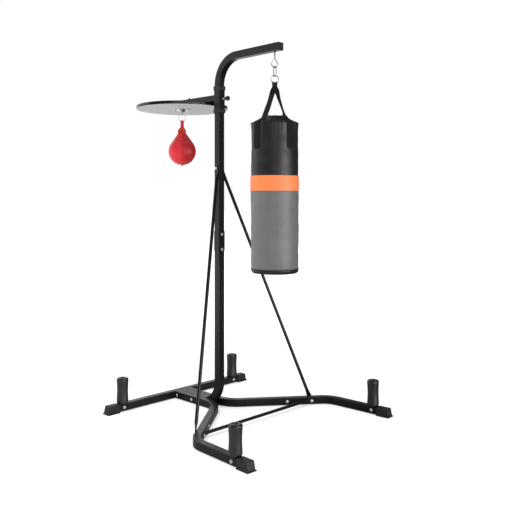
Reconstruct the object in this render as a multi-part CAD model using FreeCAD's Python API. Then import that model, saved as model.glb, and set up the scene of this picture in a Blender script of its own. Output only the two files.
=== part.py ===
import FreeCAD, Part
import math
import os

# Punching bag on a free-standing steel stand, with a height-adjustable rebound board and speed ball.
# Millimetres, +Z up. The front, where the heavy bag hangs, faces -Y.
# Origin: on the floor, under the middle of the bounding box.
# "Forward" is a distance in front of the post's axis, towards the heavy bag; behind the post it is negative.

Vector = FreeCAD.Vector
X_AXIS = Vector(1, 0, 0)
Y_AXIS = Vector(0, 1, 0)
UP = Vector(0, 0, 1)

# ---- Square tube, fits and fasteners
tube = 45.0               # outer side of the stand's square tube
tube_wall = 2.0
tube_corner = 4.0         # outer corner radius
socket_gap = 0.2          # plastic cap or plug on its tube, each side
sleeve_gap = 0.5          # steel tube in a fixed steel sleeve, each side
contact_gap = 0.3         # soft or round piece beside its seat
bolt_diameter = 9.8
bolt_hole = 10.4
bolt_head_diameter = 19.0
bolt_head_height = 4.5
nut_flats = 16.5
nut_height = 8.0
bolt_tail = 3.0           # thread that stands out of a nut

# ---- Base: rear crossbar, two splayed legs and foot caps
sole = 3.0                # foot cap's thickness under the tube
crossbar_back = 377.0     # crossbar's axis behind the post's axis
crossbar_half = 585.0     # centre to the outer end of a foot cap
stub_length = 190.0       # crossbar's welded stub inside the post's foot
hub_corner_forward = 22.0     # where a leg's straight runs would meet, in front of the post
hub_bend = 160.0
splay = 51.8              # a leg's turn from straight ahead, degrees
splay_length = 656.0      # between a leg's two corners
front_bend = 130.0
toe_out = 3.1             # front run's turn from straight ahead, degrees
front_length = 446.3      # from the front corner to the end of the foot cap
cap_length = 86.0
cap_wall = 2.5
cap_end_wall = 19.0
cap_lip = 6.0             # how far the foot's lip stands out
cap_lip_height = 9.0
cap_lip_edge = 2.5
cap_corner = 5.0
cap_slope = 15.0          # how far the end face leans back at its top

# ---- Bolts of the base
hub_bolt_backs = (336.0, 192.0)
splay_bolt = 379.0        # from the hub corner along the splayed run
brace_bolt = 536.0

# ---- Plate pegs and foam sleeves
peg_diameter = 25.0
peg_wall = 1.5
peg_height = 198.0        # top of the steel peg above the floor
foam_diameter = 72.0
foam_waist = 68.0
foam_length = 156.0
foam_round = 9.0
foam_clear = 1.0          # foam beside the foot cap

# ---- Post
stand_height = 2200.0     # floor to the top of the arm
foot_bend = 135.0
arm_bend = 165.0
arm_reach = 520.0         # post's axis to the end of the arm's plug
plug_lip = 3.0
plug_depth = 22.0
joint_height = 1042.0     # where the lower and upper posts meet
joint_sleeve_length = 122.0
sleeve_wall = 2.0
joint_bolt_pitch = 94.0
joint_bolt_offset = -5.0  # middle of the two bolts, from the joint
brace_top_drop = 706.0     # arm's top to the braces' upper bolt

# ---- Braces
brace_diameter = 20.0
brace_wall = 1.2
tab_thickness = 3.4       # flattened end of a brace
tab_width = 30.0
tab_reach = 24.0          # bolt to the start of the round-off
tab_blend = 42.0          # length over which flat turns to round
slip_joint = 0.47         # place of the slip joint, as a share of the brace from its top
spigot_length = 60.0
spigot_gap = 0.15
cross_brace_diameter = 19.0
cross_blend = 34.0
cross_tab_reach = 20.0

# ---- Carriage: slide sleeve, collars, arm, board
carriage_sleeve_wall = 2.1
carriage_gap = 0.4        # sleeve on the post, each side
collar_gap = 0.3          # collar's guide lip on the post, each side
carriage_drop = 197.0     # arm's top to the top of the carriage's sleeve, at its highest place
carriage_length = 159.0
collar_width = 55.0
collar_height = 25.0
collar_lip = 4.0
board_setback = 365.0     # board's centre behind the post's axis
board_diameter = 600.0
board_thickness = 20.0
board_drop = 109.0        # sleeve's top to the board's underside
rim_thickness = 3.0
platform_arm_size = 40.0
platform_arm_tail = 105.0     # arm's length past the board's centre
platform_bolt_spacing = 146.0
platform_bolt_diameter = 7.8
platform_bolt_hole = 8.4
platform_head_diameter = 18.0
platform_head_height = 4.0
platform_nut_flats = 13.0
platform_nut_height = 7.0

# ---- Pull pin in the carriage, and the post's holes for it
pin_drop = 78.0           # sleeve's top to the pin's axis
pin_diameter = 9.0
pin_hole = 9.8
hole_pitch = 50.0
hole_count = 5
barrel_diameter = 18.0
barrel_length = 26.0
barrel_gap = 0.05
pin_tip_gap = 0.5         # parked tip in front of the post's face
knob_diameter = 29.0
knob_length = 24.0
knob_forward = 61.0       # knob's back face in front of the post's axis
knob_socket = 15.0        # pin's length inside the knob

# ---- Swivel under the board
swivel_turn = -45.0       # how the ring happens to stand, seen from above, degrees
plate_side = 80.0
plate_thickness = 3.0
plate_corner = 8.0
screw_spacing = 60.0
screw_diameter = 4.0
screw_length = 16.0
screw_head_diameter = 8.0
screw_head_height = 2.2
housing_depth = 13.5
housing_top_diameter = 46.0
housing_foot_diameter = 27.0
housing_floor = 3.0
neck_diameter = 12.0
shaft_gap = 0.06
rotor_head_diameter = 24.0
rotor_head_height = 5.0
flange_diameter = 26.0
flange_height = 3.5
flange_gap = 0.5          # between the housing's foot and the flange
lug_thickness = 5.0
lug_width = 16.0
lug_hole = 7.0
lug_hole_drop = 10.0      # flange's underside to the hole's centre
ball_ring_radius = 23.0   # centre line of the swivel's ring
ball_ring_wire = 5.0

# ---- Speed ball
loop_width = 22.0
loop_thickness = 3.0
loop_gap = 0.4
ball_neck_drop = 41.5     # ring's lowest centre line to the top of the neck
ball_diameter = 181.0
ball_shoulder = 35.0      # where the sphere turns to a cone, degrees above its equator
ball_neck_diameter = 34.0
neck_blend = 63.0
ball_height = 248.0       # neck's top to the ball's bottom
ball_wall = 3.0
bladder_gap = 0.4
flap_diameter = 55.0
flap_thickness = 3.0
flap_tilt = 22.0
flap_drop = 27.0          # neck's top to the flap's centre
flap_stand = 27.6         # flap's inner face in front of the ball's axis
valve_diameter = 7.0
valve_length = 8.0

# ---- Hanger
hook_forward = 473.0      # hanger's axis in front of the post's axis
shank_diameter = 8.0
shank_hole = 8.6
hanger_turn = -40.0       # how the eye and the ring happen to stand, seen from above, degrees
link_turn = -10.0         # how the link between them happens to stand
eye_wire = 7.0
eye_radius = 18.0         # centre line of the eye's round bottom
eye_apex = 33.5           # round bottom's centre to the eye's top
eye_drop = 93.5           # arm's underside to the eye's lowest centre line
top_nut_height = 5.0
washer_diameter = 20.0
washer_thickness = 1.6
wire_gap = 0.5            # between two wires that hang in each other
link_wire = 5.5
link_width = 25.0         # between the link's centre lines
link_height = 59.0
ring_wire = 5.5
ring_radius = 22.25

# ---- Heavy bag
knot_width = 30.0
strap_thickness = 3.0
knot_drop = 22.0          # ring's lowest centre line to the end of the sewn loop
strap_width = 50.0
strap_top_width = 16.0
strap_top_radius = 9.0
strap_taper = 62.0        # length over which a strap spreads to its full width
strap_tail = 154.0        # strap's length down the wall, below the rim
bag_turn = -5.5           # bag's turn about its own axis, degrees
strap_landing = 82.0      # radius at which a strap meets the bag's top
bag_drop = 167.75         # end of the sewn loop to the bag's top
bag_gather_radius = 52.0
bag_rim_drop = 42.0       # bag's top to its rim
bag_rim_radius = 133.5
bag_skin = 3.0
upper_shell_length = 303.0
band_width = 87.0
band_radius = 140.0
bag_radius_above_band = 136.0
bag_radius_below_band = 138.0
bag_foot_radius = 136.5
bag_foot_round = 18.0
lower_shell_length = 447.0
bag_foot_depth = 24.0

# ---- Places that follow from the sizes above
half = tube / 2
base_axis = sole + half                       # height of the base tubes' axes
base_top = sole + tube
leg_gap = tube                                # a leg's axis beside the post's foot
splay_angle = math.radians(splay)
toe_angle = math.radians(toe_out)
cap_reach = (half + cap_wall + cap_lip) * math.sin(toe_angle)
front_extent = (hub_corner_forward + splay_length * math.cos(splay_angle)
                + front_length * math.cos(toe_angle) + cap_reach)
rear_extent = board_setback + board_diameter / 2
post_y = (front_extent - rear_extent) / 2     # puts the origin under the middle of the part
crossbar_front = crossbar_back - half
peg_inset = cap_length + foam_diameter / 2 + foam_clear    # cap's outer end to the peg
crossbar_peg = crossbar_half - peg_inset      # peg's distance from the middle of the crossbar
leg_peg = front_length - peg_inset            # peg's distance from the front corner along the leg
brace_top_height = stand_height - brace_top_drop
carriage_top = stand_height - carriage_drop
board_underside = carriage_top - board_drop
board_top = board_underside + board_thickness
pin_height = carriage_top - pin_drop
joint_sleeve_bottom = joint_height - joint_sleeve_length / 2


def at(x, forward, z):
    """Point at x to the right, forward of the post's axis and z above the floor."""
    return Vector(x, post_y - forward, z)


def unit(vector):
    """Copy of a vector, one long."""
    return Vector(vector).normalize()


def mirrored(shape):
    """The same piece on the stand's other side."""
    return shape.mirror(Vector(0, 0, 0), X_AXIS)


def fused(shapes):
    """One solid from pieces that touch or overlap."""
    return shapes[0].multiFuse(shapes[1:]).removeSplitter()


def turned_about(shape, point, degrees):
    """Copy of a shape turned about the vertical line through a point."""
    copy = shape.copy()
    copy.rotate(point, UP, degrees)
    return copy


def cylinder(start, end, diameter):
    """Round bar between two points."""
    along = end - start
    return Part.makeCylinder(diameter / 2, along.Length, start, along)


def drilled(shape, point, direction, diameter):
    """Shape with a hole bored a short way to both sides of a point."""
    reach = unit(direction) * (tube + 60)
    return shape.cut(cylinder(point - reach, point + reach, diameter))


# ---- Outlines and bars along a path

def corner_arc(before, corner, after, radius):
    """Start, middle, end and centre of the arc tangent to both runs at a corner."""
    back = unit(before - corner)
    ahead = unit(after - corner)
    half_angle = back.getAngle(ahead) / 2
    start = corner + back * (radius / math.tan(half_angle))
    end = corner + ahead * (radius / math.tan(half_angle))
    centre = corner + unit(back + ahead) * (radius / math.sin(half_angle))
    middle = centre + unit(corner - centre) * radius
    return start, middle, end, centre


def outline(corners):
    """Closed wire through (point, radius) corners; a radius rounds its corner."""
    edges = []
    count = len(corners)
    ends = []
    for index, (point, radius) in enumerate(corners):
        if radius:
            before = corners[index - 1][0]
            after = corners[(index + 1) % count][0]
            start, middle, end, _ = corner_arc(before, point, after, radius)
            ends.append((start, end))
            edges.append(Part.Arc(start, middle, end).toShape())
        else:
            ends.append((point, point))
    for index in range(count):
        start = ends[index][1]
        end = ends[(index + 1) % count][0]
        if start.distanceToPoint(end) > 1e-6:
            edges.append(Part.makeLine(start, end))
    return Part.Wire(Part.__sortEdges__(edges))


def square_section(side, outer, wall, corner):
    """Maker of a square tube's section, whose sides lie along and across the side vector."""
    def section(point, along):
        across = unit(along.cross(side))
        def frame(size, radius):
            reach = size / 2
            signs = ((1, 1), (-1, 1), (-1, -1), (1, -1))
            return outline([(point + across * (u * reach) + side * (v * reach), radius) for u, v in signs])
        face = Part.Face(frame(outer, corner))
        if wall:
            face = face.cut(Part.Face(frame(outer - 2 * wall, 0))).Faces[0]
        return face
    return section


def round_section(diameter):
    """Maker of a round bar's section."""
    def section(point, along):
        return Part.Face(Part.Wire(Part.makeCircle(diameter / 2, point, along)))
    return section


def bar_along(path, section):
    """Bar along (point, bend radius) stops, made of straight runs and tangent bends."""
    pieces = []
    start = path[0][0]
    for index in range(1, len(path)):
        point, radius = path[index]
        bend_start = point
        if radius:
            after = path[index + 1][0]
            bend_start, _, bend_end, centre = corner_arc(path[index - 1][0], point, after, radius)
        along = unit(point - path[index - 1][0])
        if start.distanceToPoint(bend_start) > 1e-6:
            pieces.append(section(start, along).extrude(bend_start - start))
        if radius:
            turn = unit(after - point)
            degrees = math.degrees(along.getAngle(turn))
            pieces.append(section(bend_start, along).revolve(centre, along.cross(turn), degrees))
            start = bend_end
    return fused(pieces)


def turned_profile(corners):
    """Solid of revolution about the vertical axis from (radius, height, round) corners."""
    face = Part.Face(outline([(Vector(r, 0, z), rounding) for r, z, rounding in corners]))
    return face.revolve(Vector(0, 0, 0), UP, 360)


def stood(shape, point, direction):
    """Copy of a shape whose upward axis is laid along a direction from a point."""
    copy = shape.copy()
    copy.Placement = FreeCAD.Placement(point, FreeCAD.Rotation(UP, direction))
    return copy


# ---- Fasteners

def nut(flats, height, bore):
    """Hexagon nut standing on the origin."""
    corner_radius = flats / math.sqrt(3)
    angles = [math.radians(60 * k) for k in range(6)]
    corners = [Vector(corner_radius * math.cos(a), corner_radius * math.sin(a), 0) for a in angles]
    body = Part.Face(Part.makePolygon(corners + corners[:1])).extrude(UP * height)
    return body.cut(Part.makeCylinder(bore / 2, height))


def domed_bolt(length, diameter, head_diameter, head_height):
    """Bolt with a low domed head under the origin and its shank rising from it."""
    radius = head_diameter / 2
    dome = (radius ** 2 + head_height ** 2) / (2 * head_height)
    lean = math.asin(radius / dome) / 2
    rise = dome * (1 - math.cos(lean))
    on_dome = Vector(dome * math.sin(lean), 0, rise - head_height)
    edges = [
        Part.Arc(Vector(0, 0, -head_height), on_dome, Vector(radius, 0, 0)).toShape(),
        Part.makeLine(Vector(radius, 0, 0), Vector(diameter / 2, 0, 0)),
        Part.makeLine(Vector(diameter / 2, 0, 0), Vector(diameter / 2, 0, length)),
        Part.makeLine(Vector(diameter / 2, 0, length), Vector(0, 0, length)),
        Part.makeLine(Vector(0, 0, length), Vector(0, 0, -head_height)),
    ]
    return Part.Face(Part.Wire(edges)).revolve(Vector(0, 0, 0), UP, 360)


def bolt_and_nut(head, direction, grip):
    """Frame bolt through a grip, with its nut: the head's seat is at the point given."""
    bolt = domed_bolt(grip + nut_height + bolt_tail, bolt_diameter, bolt_head_diameter, bolt_head_height)
    end = head + unit(direction) * grip
    return [stood(bolt, head, direction), stood(nut(nut_flats, nut_height, bolt_hole), end, direction)]


def leg_point(distance, offset=0.0):
    """Point on the right leg's splayed run, offset to its inner side."""
    x = leg_gap + distance * math.sin(splay_angle) - offset * math.cos(splay_angle)
    forward = hub_corner_forward + distance * math.cos(splay_angle) + offset * math.sin(splay_angle)
    return at(x, forward, base_axis)


def front_point(distance, offset=0.0):
    """Point on the right leg's front run, measured from the front corner, offset to its inner side."""
    corner_x = leg_gap + splay_length * math.sin(splay_angle)
    corner_forward = hub_corner_forward + splay_length * math.cos(splay_angle)
    x = corner_x + distance * math.sin(toe_angle) - offset * math.cos(toe_angle)
    forward = corner_forward + distance * math.cos(toe_angle) + offset * math.sin(toe_angle)
    return at(x, forward, base_axis)


splay_inward = unit(leg_point(0, 1) - leg_point(0))
front_inward = unit(front_point(0, 1) - front_point(0))
front_along = unit(front_point(1) - front_point(0))


# ---- Base

def rear_crossbar():
    """Crossbar with peg and bolt holes and a welded stub that enters the post's foot."""
    reach = crossbar_half - cap_end_wall
    section = square_section(UP, tube, tube_wall, tube_corner)
    bar = bar_along([(at(-reach, -crossbar_back, base_axis), 0), (at(reach, -crossbar_back, base_axis), 0)], section)
    for x in (-crossbar_peg, crossbar_peg):
        bar = drilled(bar, at(x, -crossbar_back, base_axis), Y_AXIS, bolt_hole)
        bar = bar.cut(cylinder(at(x, -crossbar_back, base_axis), at(x, -crossbar_back, base_top + 1), peg_hole()))
    stub_size = tube - 2 * tube_wall - 2 * sleeve_gap
    stub_path = [(at(0, -crossbar_front, base_axis), 0), (at(0, stub_length - crossbar_front, base_axis), 0)]
    stub = bar_along(stub_path, square_section(UP, stub_size, tube_wall, tube_corner / 2))
    for back in hub_bolt_backs:
        stub = drilled(stub, at(0, -back, base_axis), X_AXIS, bolt_hole)
    return fused([bar, stub])


def peg_hole():
    """Diameter of the hole that a plate peg passes through."""
    return peg_diameter + 2 * contact_gap


def right_leg():
    """Leg tube from the crossbar along the post's foot, out along the splay and forward to its cap."""
    path = [
        (at(leg_gap, -crossbar_front, base_axis), 0),
        (leg_point(0), hub_bend),
        (front_point(0), front_bend),
        (front_point(front_length - cap_end_wall), 0),
    ]
    leg = bar_along(path, square_section(UP, tube, tube_wall, tube_corner))
    for back in hub_bolt_backs:
        leg = drilled(leg, at(leg_gap, -back, base_axis), X_AXIS, bolt_hole)
    for distance in (splay_bolt, brace_bolt):
        leg = drilled(leg, leg_point(distance), splay_inward, bolt_hole)
    peg = front_point(leg_peg)
    leg = drilled(leg, peg, front_inward, bolt_hole)
    return leg.cut(cylinder(peg, peg + UP * tube, peg_hole()))


def foot_cap():
    """Plastic cap with a flared lip at the floor: its end at the origin, its mouth behind, at -X."""
    wide = half + cap_wall
    top = base_top + cap_wall
    cross = outline([
        (Vector(0, -wide - cap_lip, 0), 0), (Vector(0, wide + cap_lip, 0), 0),
        (Vector(0, wide + cap_lip, cap_lip_edge), 0), (Vector(0, wide, cap_lip_height), 0),
        (Vector(0, wide, top), cap_corner), (Vector(0, -wide, top), cap_corner),
        (Vector(0, -wide, cap_lip_height), 0), (Vector(0, -wide - cap_lip, cap_lip_edge), 0),
    ])
    side = outline([
        (Vector(-cap_length, -tube, 0), 0), (Vector(0, -tube, 0), 0), (Vector(0, -tube, cap_lip_edge), 0),
        (Vector(-cap_lip, -tube, cap_lip_height), 0), (Vector(-cap_slope, -tube, top), cap_corner),
        (Vector(-cap_length, -tube, top), 0),
    ])
    body = Part.Face(cross).extrude(X_AXIS * -cap_length)
    body = body.common(Part.Face(side).extrude(Y_AXIS * 2 * tube))
    pocket_start = Vector(-cap_end_wall, 0, base_axis)
    pocket = square_section(UP, tube + 2 * socket_gap, 0, tube_corner)(pocket_start, X_AXIS)
    return body.cut(pocket.extrude(X_AXIS * -cap_length))


def placed_cap(end, along):
    """Foot cap whose end lies at a point of the tube's axis, facing along a direction."""
    cap = foot_cap()
    cap.rotate(Vector(0, 0, 0), UP, math.degrees(math.atan2(along.y, along.x)))
    cap.translate(Vector(end.x, end.y, 0))
    return cap


def plate_peg(foot):
    """Steel peg that stands in the base tube, cross-drilled for its bolt."""
    bottom = Vector(foot.x, foot.y, sole + tube_wall + contact_gap)
    top = Vector(foot.x, foot.y, peg_height)
    return cylinder(bottom, top, peg_diameter).cut(cylinder(bottom, top, peg_diameter - 2 * peg_wall))


def foam_sleeve(foot):
    """Foam tube around a peg, slightly waisted, with rounded ends."""
    bore = peg_hole() / 2
    outer = foam_diameter / 2
    waist = foam_waist / 2
    profile = [
        (bore, 0, 0), (outer, 0, foam_round), (waist, foam_length * 0.45, foam_length),
        (outer, foam_length, foam_round), (bore, foam_length, 0),
    ]
    sleeve = turned_profile(profile)
    sleeve.translate(Vector(foot.x, foot.y, base_top))
    return sleeve


def make_pegs_and_caps(parts):
    """Four caps, pegs, foams and peg bolts, and the bolts along the legs."""
    bolts = []
    corners = {
        "rear": (at(crossbar_half, -crossbar_back, 0), X_AXIS,
                 at(crossbar_peg, -crossbar_back, base_axis), Y_AXIS, -1),
        "front": (front_point(front_length), front_along, front_point(leg_peg), front_inward, 1),
    }
    for name, (end, along, foot, bolt_line, head_side) in corners.items():
        peg = drilled(plate_peg(foot), foot, bolt_line, bolt_hole)
        head = foot + bolt_line * (head_side * half)
        right = {
            "foot_cap": placed_cap(end, along),
            "plate_peg": peg,
            "foam_sleeve": foam_sleeve(foot),
        }
        for piece, shape in right.items():
            parts[f"{piece}_{name}_right"] = shape
            parts[f"{piece}_{name}_left"] = mirrored(shape)
        pair = bolt_and_nut(head, bolt_line * -head_side, tube)
        bolts += pair + [mirrored(shape) for shape in pair]
    pair = bolt_and_nut(leg_point(splay_bolt, half), splay_inward * -1, tube)
    bolts += pair + [mirrored(shape) for shape in pair]
    grip = tube + 2 * tab_thickness
    pair = bolt_and_nut(leg_point(brace_bolt, half + tab_thickness), splay_inward * -1, grip)
    bolts += pair + [mirrored(shape) for shape in pair]
    parts["base_bolts"] = Part.makeCompound(bolts)


def hub_bolts():
    """Two long bolts through both legs, the post's foot and the stub inside it."""
    reach = leg_gap + half
    solids = []
    for back in hub_bolt_backs:
        solids += bolt_and_nut(at(-reach, -back, base_axis), X_AXIS, 2 * reach)
    return Part.makeCompound(solids)


# ---- Post and arm

def lower_post():
    """Post tube from the joint down to the bend and back between the legs to the crossbar."""
    path = [
        (at(0, 0, joint_height), 0),
        (at(0, 0, base_axis), foot_bend),
        (at(0, -crossbar_front, base_axis), 0),
    ]
    post = bar_along(path, square_section(X_AXIS, tube, tube_wall, tube_corner))
    post = drilled(post, at(0, 0, joint_bolt_heights()[0]), Y_AXIS, bolt_hole)
    for back in hub_bolt_backs:
        post = drilled(post, at(0, -back, base_axis), X_AXIS, bolt_hole)
    return post


def joint_bolt_heights():
    """Heights of the joint sleeve's lower and upper bolts."""
    middle = joint_height + joint_bolt_offset
    return middle - joint_bolt_pitch / 2, middle + joint_bolt_pitch / 2


def joint_sleeve():
    """Square sleeve over both post tubes where they meet."""
    size = tube + 2 * sleeve_gap + 2 * sleeve_wall
    path = [(at(0, 0, joint_sleeve_bottom), 0), (at(0, 0, joint_sleeve_bottom + joint_sleeve_length), 0)]
    sleeve = bar_along(path, square_section(X_AXIS, size, sleeve_wall, tube_corner + sleeve_gap))
    for height in joint_bolt_heights():
        sleeve = drilled(sleeve, at(0, 0, height), Y_AXIS, bolt_hole)
    return sleeve


def upper_post():
    """Post tube from the joint up to the bend and forward as the arm, with the row of pin holes."""
    arm_axis = stand_height - half
    path = [
        (at(0, 0, joint_height), 0),
        (at(0, 0, arm_axis), arm_bend),
        (at(0, arm_reach - plug_lip, arm_axis), 0),
    ]
    post = bar_along(path, square_section(X_AXIS, tube, tube_wall, tube_corner))
    post = drilled(post, at(0, 0, joint_bolt_heights()[1]), Y_AXIS, bolt_hole)
    post = drilled(post, at(0, 0, brace_top_height), X_AXIS, bolt_hole)
    for index in range(hole_count):
        height = pin_height - index * hole_pitch
        post = post.cut(cylinder(at(0, half + 1, height), at(0, 0, height), pin_hole))
    return drilled(post, at(0, hook_forward, arm_axis), UP, shank_hole)


def arm_end_plug():
    """Plastic plug in the arm's open end."""
    arm_axis = stand_height - half
    mouth = at(0, arm_reach - plug_lip, arm_axis)
    inner = tube - 2 * tube_wall - 2 * socket_gap
    forward = Y_AXIS * -1
    lip = square_section(X_AXIS, tube, 0, tube_corner)(mouth, forward).extrude(forward * plug_lip)
    core = square_section(X_AXIS, inner, 2 * tube_wall, tube_wall)(mouth, Y_AXIS).extrude(Y_AXIS * plug_depth)
    return fused([lip, core])


def post_bolts():
    """Two bolts through the joint sleeve and one through the braces' upper ends."""
    reach = half + sleeve_gap + sleeve_wall
    solids = []
    for height in joint_bolt_heights():
        solids += bolt_and_nut(at(0, reach, height), Y_AXIS, 2 * reach)
    side = half + tab_thickness
    solids += bolt_and_nut(at(side, 0, brace_top_height), X_AXIS * -1, 2 * side)
    return Part.makeCompound(solids)


# ---- Braces

def flat_section(centre, across, normal):
    """Outline of a brace's flattened end: a thin band with round edges."""
    straight = (tab_width - tab_thickness) / 2
    rise = tab_thickness / 2
    a = centre + across * straight + normal * rise
    b = centre - across * straight + normal * rise
    c = centre - across * straight - normal * rise
    d = centre + across * straight - normal * rise
    return Part.Wire([
        Part.makeLine(a, b), Part.Arc(b, centre - across * (straight + rise), c).toShape(),
        Part.makeLine(c, d), Part.Arc(d, centre + across * (straight + rise), a).toShape(),
    ])


def round_outline(centre, across, normal, diameter):
    """Circle in four arcs that match the four edges of a flattened end."""
    slant = math.sqrt(0.5)
    radius = diameter / 2
    stops = [(slant, slant), (0, 1), (-slant, slant), (-1, 0), (-slant, -slant), (0, -1), (slant, -slant), (1, 0)]
    points = [centre + across * (u * radius) + normal * (v * radius) for u, v in stops]
    points.append(points[0])
    return Part.Wire([Part.Arc(points[k], points[k + 1], points[k + 2]).toShape() for k in range(0, 8, 2)])


def flattened_end(seat, normal, lead, reach, round_centre, axis, diameter):
    """Tab that lies on a face at its bolt, blended from flat to round towards the tube."""
    centre = seat + normal * (tab_thickness / 2)
    across = normal.cross(lead)
    disc = Part.makeCylinder(tab_width / 2, tab_thickness, seat, normal)
    flat_end = centre + lead * reach
    plate = Part.Face(flat_section(centre, across, normal)).extrude(lead * reach)
    round_across = unit(across - axis * across.dot(axis))
    round_normal = unit(axis.cross(round_across))
    if round_normal.dot(normal) < 0:
        round_normal = round_normal * -1
    sections = [flat_section(flat_end, across, normal),
                round_outline(round_centre, round_across, round_normal, diameter)]
    blend = Part.makeLoft(sections, True, True)
    tab = fused([disc, plate, blend])
    return tab.cut(cylinder(seat - normal * tube, seat + normal * tube, bolt_hole))


def right_braces():
    """Upper and lower tubes of the right diagonal brace, joined by a slip joint."""
    top_seat = at(half, 0, brace_top_height)
    outward = splay_inward * -1
    foot_seat = leg_point(brace_bolt) + outward * half
    down = unit(foot_seat - top_seat)
    top_lead = unit(down - X_AXIS * down.dot(X_AXIS))
    foot_lead = unit(outward * down.dot(outward) - down)
    top_round = top_seat + X_AXIS * (tab_thickness / 2) + top_lead * tab_reach + down * tab_blend
    foot_round = foot_seat + outward * (tab_thickness / 2) + foot_lead * tab_reach - down * tab_blend
    axis = unit(foot_round - top_round)
    length = (foot_round - top_round).Length
    meeting = top_round + axis * (length * slip_joint)
    bore = brace_diameter - 2 * brace_wall
    spigot = bore - 2 * spigot_gap
    spigot_top = meeting - axis * spigot_length

    upper = fused([
        flattened_end(top_seat, X_AXIS, top_lead, tab_reach, top_round, axis, brace_diameter),
        cylinder(top_round, meeting, brace_diameter),
    ]).cut(cylinder(top_round, meeting, bore))
    lower = fused([
        flattened_end(foot_seat, outward, foot_lead, tab_reach, foot_round, axis * -1, brace_diameter),
        cylinder(foot_round, meeting, brace_diameter),
        cylinder(meeting, spigot_top, spigot),
    ]).cut(cylinder(foot_round, spigot_top, spigot - 2 * brace_wall))
    return upper, lower


def cross_brace():
    """Round tube between the legs' inner faces, flattened and bent where it is bolted."""
    seat = leg_point(brace_bolt, half)
    lead = unit(leg_point(0) - leg_point(1))
    inboard = X_AXIS * -1
    flat_end = seat + splay_inward * (tab_thickness / 2) + lead * cross_tab_reach
    round_centre = flat_end + unit(lead + inboard) * cross_blend
    end = flattened_end(seat, splay_inward, lead, cross_tab_reach, round_centre, inboard, cross_brace_diameter)
    middle = cylinder(round_centre, Vector(-round_centre.x, round_centre.y, round_centre.z), cross_brace_diameter)
    return fused([end, middle, mirrored(end)])


# ---- Hanger

def hanger_axis(z):
    """Point on the line that the heavy bag hangs from."""
    return at(0, hook_forward, z)


arm_underside = stand_height - tube
eye_bottom = arm_underside - eye_drop
link_top = eye_bottom + (eye_wire + link_wire) / 2 + wire_gap
link_bottom = link_top - link_height
ring_top = link_bottom + (link_wire + ring_wire) / 2 + wire_gap
ring_centre = ring_top - ring_radius
ring_bottom = ring_centre - ring_radius
knot_end = ring_bottom - knot_drop
bag_top = knot_end - bag_drop
bag_rim_height = bag_top - bag_rim_drop
strap_tail_end = bag_rim_height - strap_tail
band_top = bag_rim_height - upper_shell_length
band_bottom = band_top - band_width
bag_foot_seam = band_bottom - lower_shell_length
bag_bottom = bag_foot_seam - bag_foot_depth


def eyebolt():
    """Bent-wire pear eye on a threaded shank that passes up through the arm."""
    centre = hanger_axis(eye_bottom + eye_radius)
    apex = centre + UP * eye_apex
    lean = math.acos(eye_radius / eye_apex)
    touch = Vector(eye_radius * math.sin(lean), 0, eye_radius * math.cos(lean))
    right = centre + touch
    left = centre + Vector(-touch.x, 0, touch.z)
    along = unit(right - apex)
    bottom = round_section(eye_wire)(right, along).revolve(centre, Y_AXIS, 360 - 2 * math.degrees(lean))
    top = Vector(apex.x, apex.y, stand_height + top_nut_height + 1)
    eye = fused([
        bottom, cylinder(right, apex, eye_wire), cylinder(left, apex, eye_wire),
        Part.makeSphere(shank_diameter / 2, apex), cylinder(apex, top, shank_diameter),
    ])
    return turned_about(eye, centre, hanger_turn)


def eyebolt_nuts():
    """Nuts and washers that clamp the eyebolt above and below the arm."""
    washer = Part.makeCylinder(washer_diameter / 2, washer_thickness)
    washer = washer.cut(Part.makeCylinder(shank_hole / 2, washer_thickness))
    lower_nut = nut(platform_nut_flats, platform_nut_height, shank_hole)
    upper_nut = nut(platform_nut_flats, top_nut_height - washer_thickness, shank_hole)
    down = UP * -1
    return Part.makeCompound([
        stood(washer, hanger_axis(arm_underside), down),
        stood(lower_nut, hanger_axis(arm_underside - washer_thickness), down),
        stood(washer, hanger_axis(stand_height), UP),
        stood(upper_nut, hanger_axis(stand_height + washer_thickness), UP),
    ])


def hanging_link():
    """Oblong welded link, nearly in the fore-and-aft plane."""
    reach = turned_direction(Y_AXIS, link_turn) * (link_width / 2)
    top = hanger_axis(link_top)
    bottom = hanger_axis(link_bottom)
    middle = hanger_axis((link_top + link_bottom) / 2)
    bend = link_width / 2
    path = [
        (middle + reach, 0), (top + reach, bend), (top - reach, bend),
        (bottom - reach, bend), (bottom + reach, bend), (middle + reach, 0),
    ]
    return bar_along(path, round_section(link_wire))


def hanging_ring():
    """Round welded ring that carries the bag's sewn loop."""
    normal = turned_direction(Y_AXIS, hanger_turn)
    return Part.makeTorus(ring_radius, ring_wire / 2, hanger_axis(ring_centre), normal)


def turned_direction(direction, degrees):
    """Direction turned about the vertical."""
    return FreeCAD.Rotation(UP, degrees).multVec(direction)


def loop_on_ring(axis_point, turn, radius, wire, gap, band, width, end_height):
    """Doubled strap that passes over a ring's lowest arc and hangs down to an end height."""
    tunnel = wire / 2 + gap
    outer = tunnel + band
    lowest = axis_point - UP * radius
    spread = 2 * math.degrees(math.asin(width / 2 / (radius + outer)))
    collar = Part.Face(Part.Wire(Part.makeCircle(outer, lowest, X_AXIS)))
    collar.rotate(axis_point, Y_AXIS, spread / 2)
    collar = collar.revolve(axis_point, Y_AXIS * -1, spread)
    height = lowest.z - end_height
    deep = outer - band / 5
    corner = Vector(lowest.x - width / 2, lowest.y - deep, end_height)
    body = Part.makeBox(width, 2 * deep, height, corner)
    strap = fused([collar, body]).cut(Part.makeTorus(radius, tunnel, axis_point, Y_AXIS))
    return turned_about(strap, axis_point, turn)


# ---- Heavy bag

def bag_piece(corners):
    """Turned piece of the bag from (radius, height, round) corners, on the bag's axis."""
    solid = turned_profile(corners)
    solid.translate(hanger_axis(0))
    return solid


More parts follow.
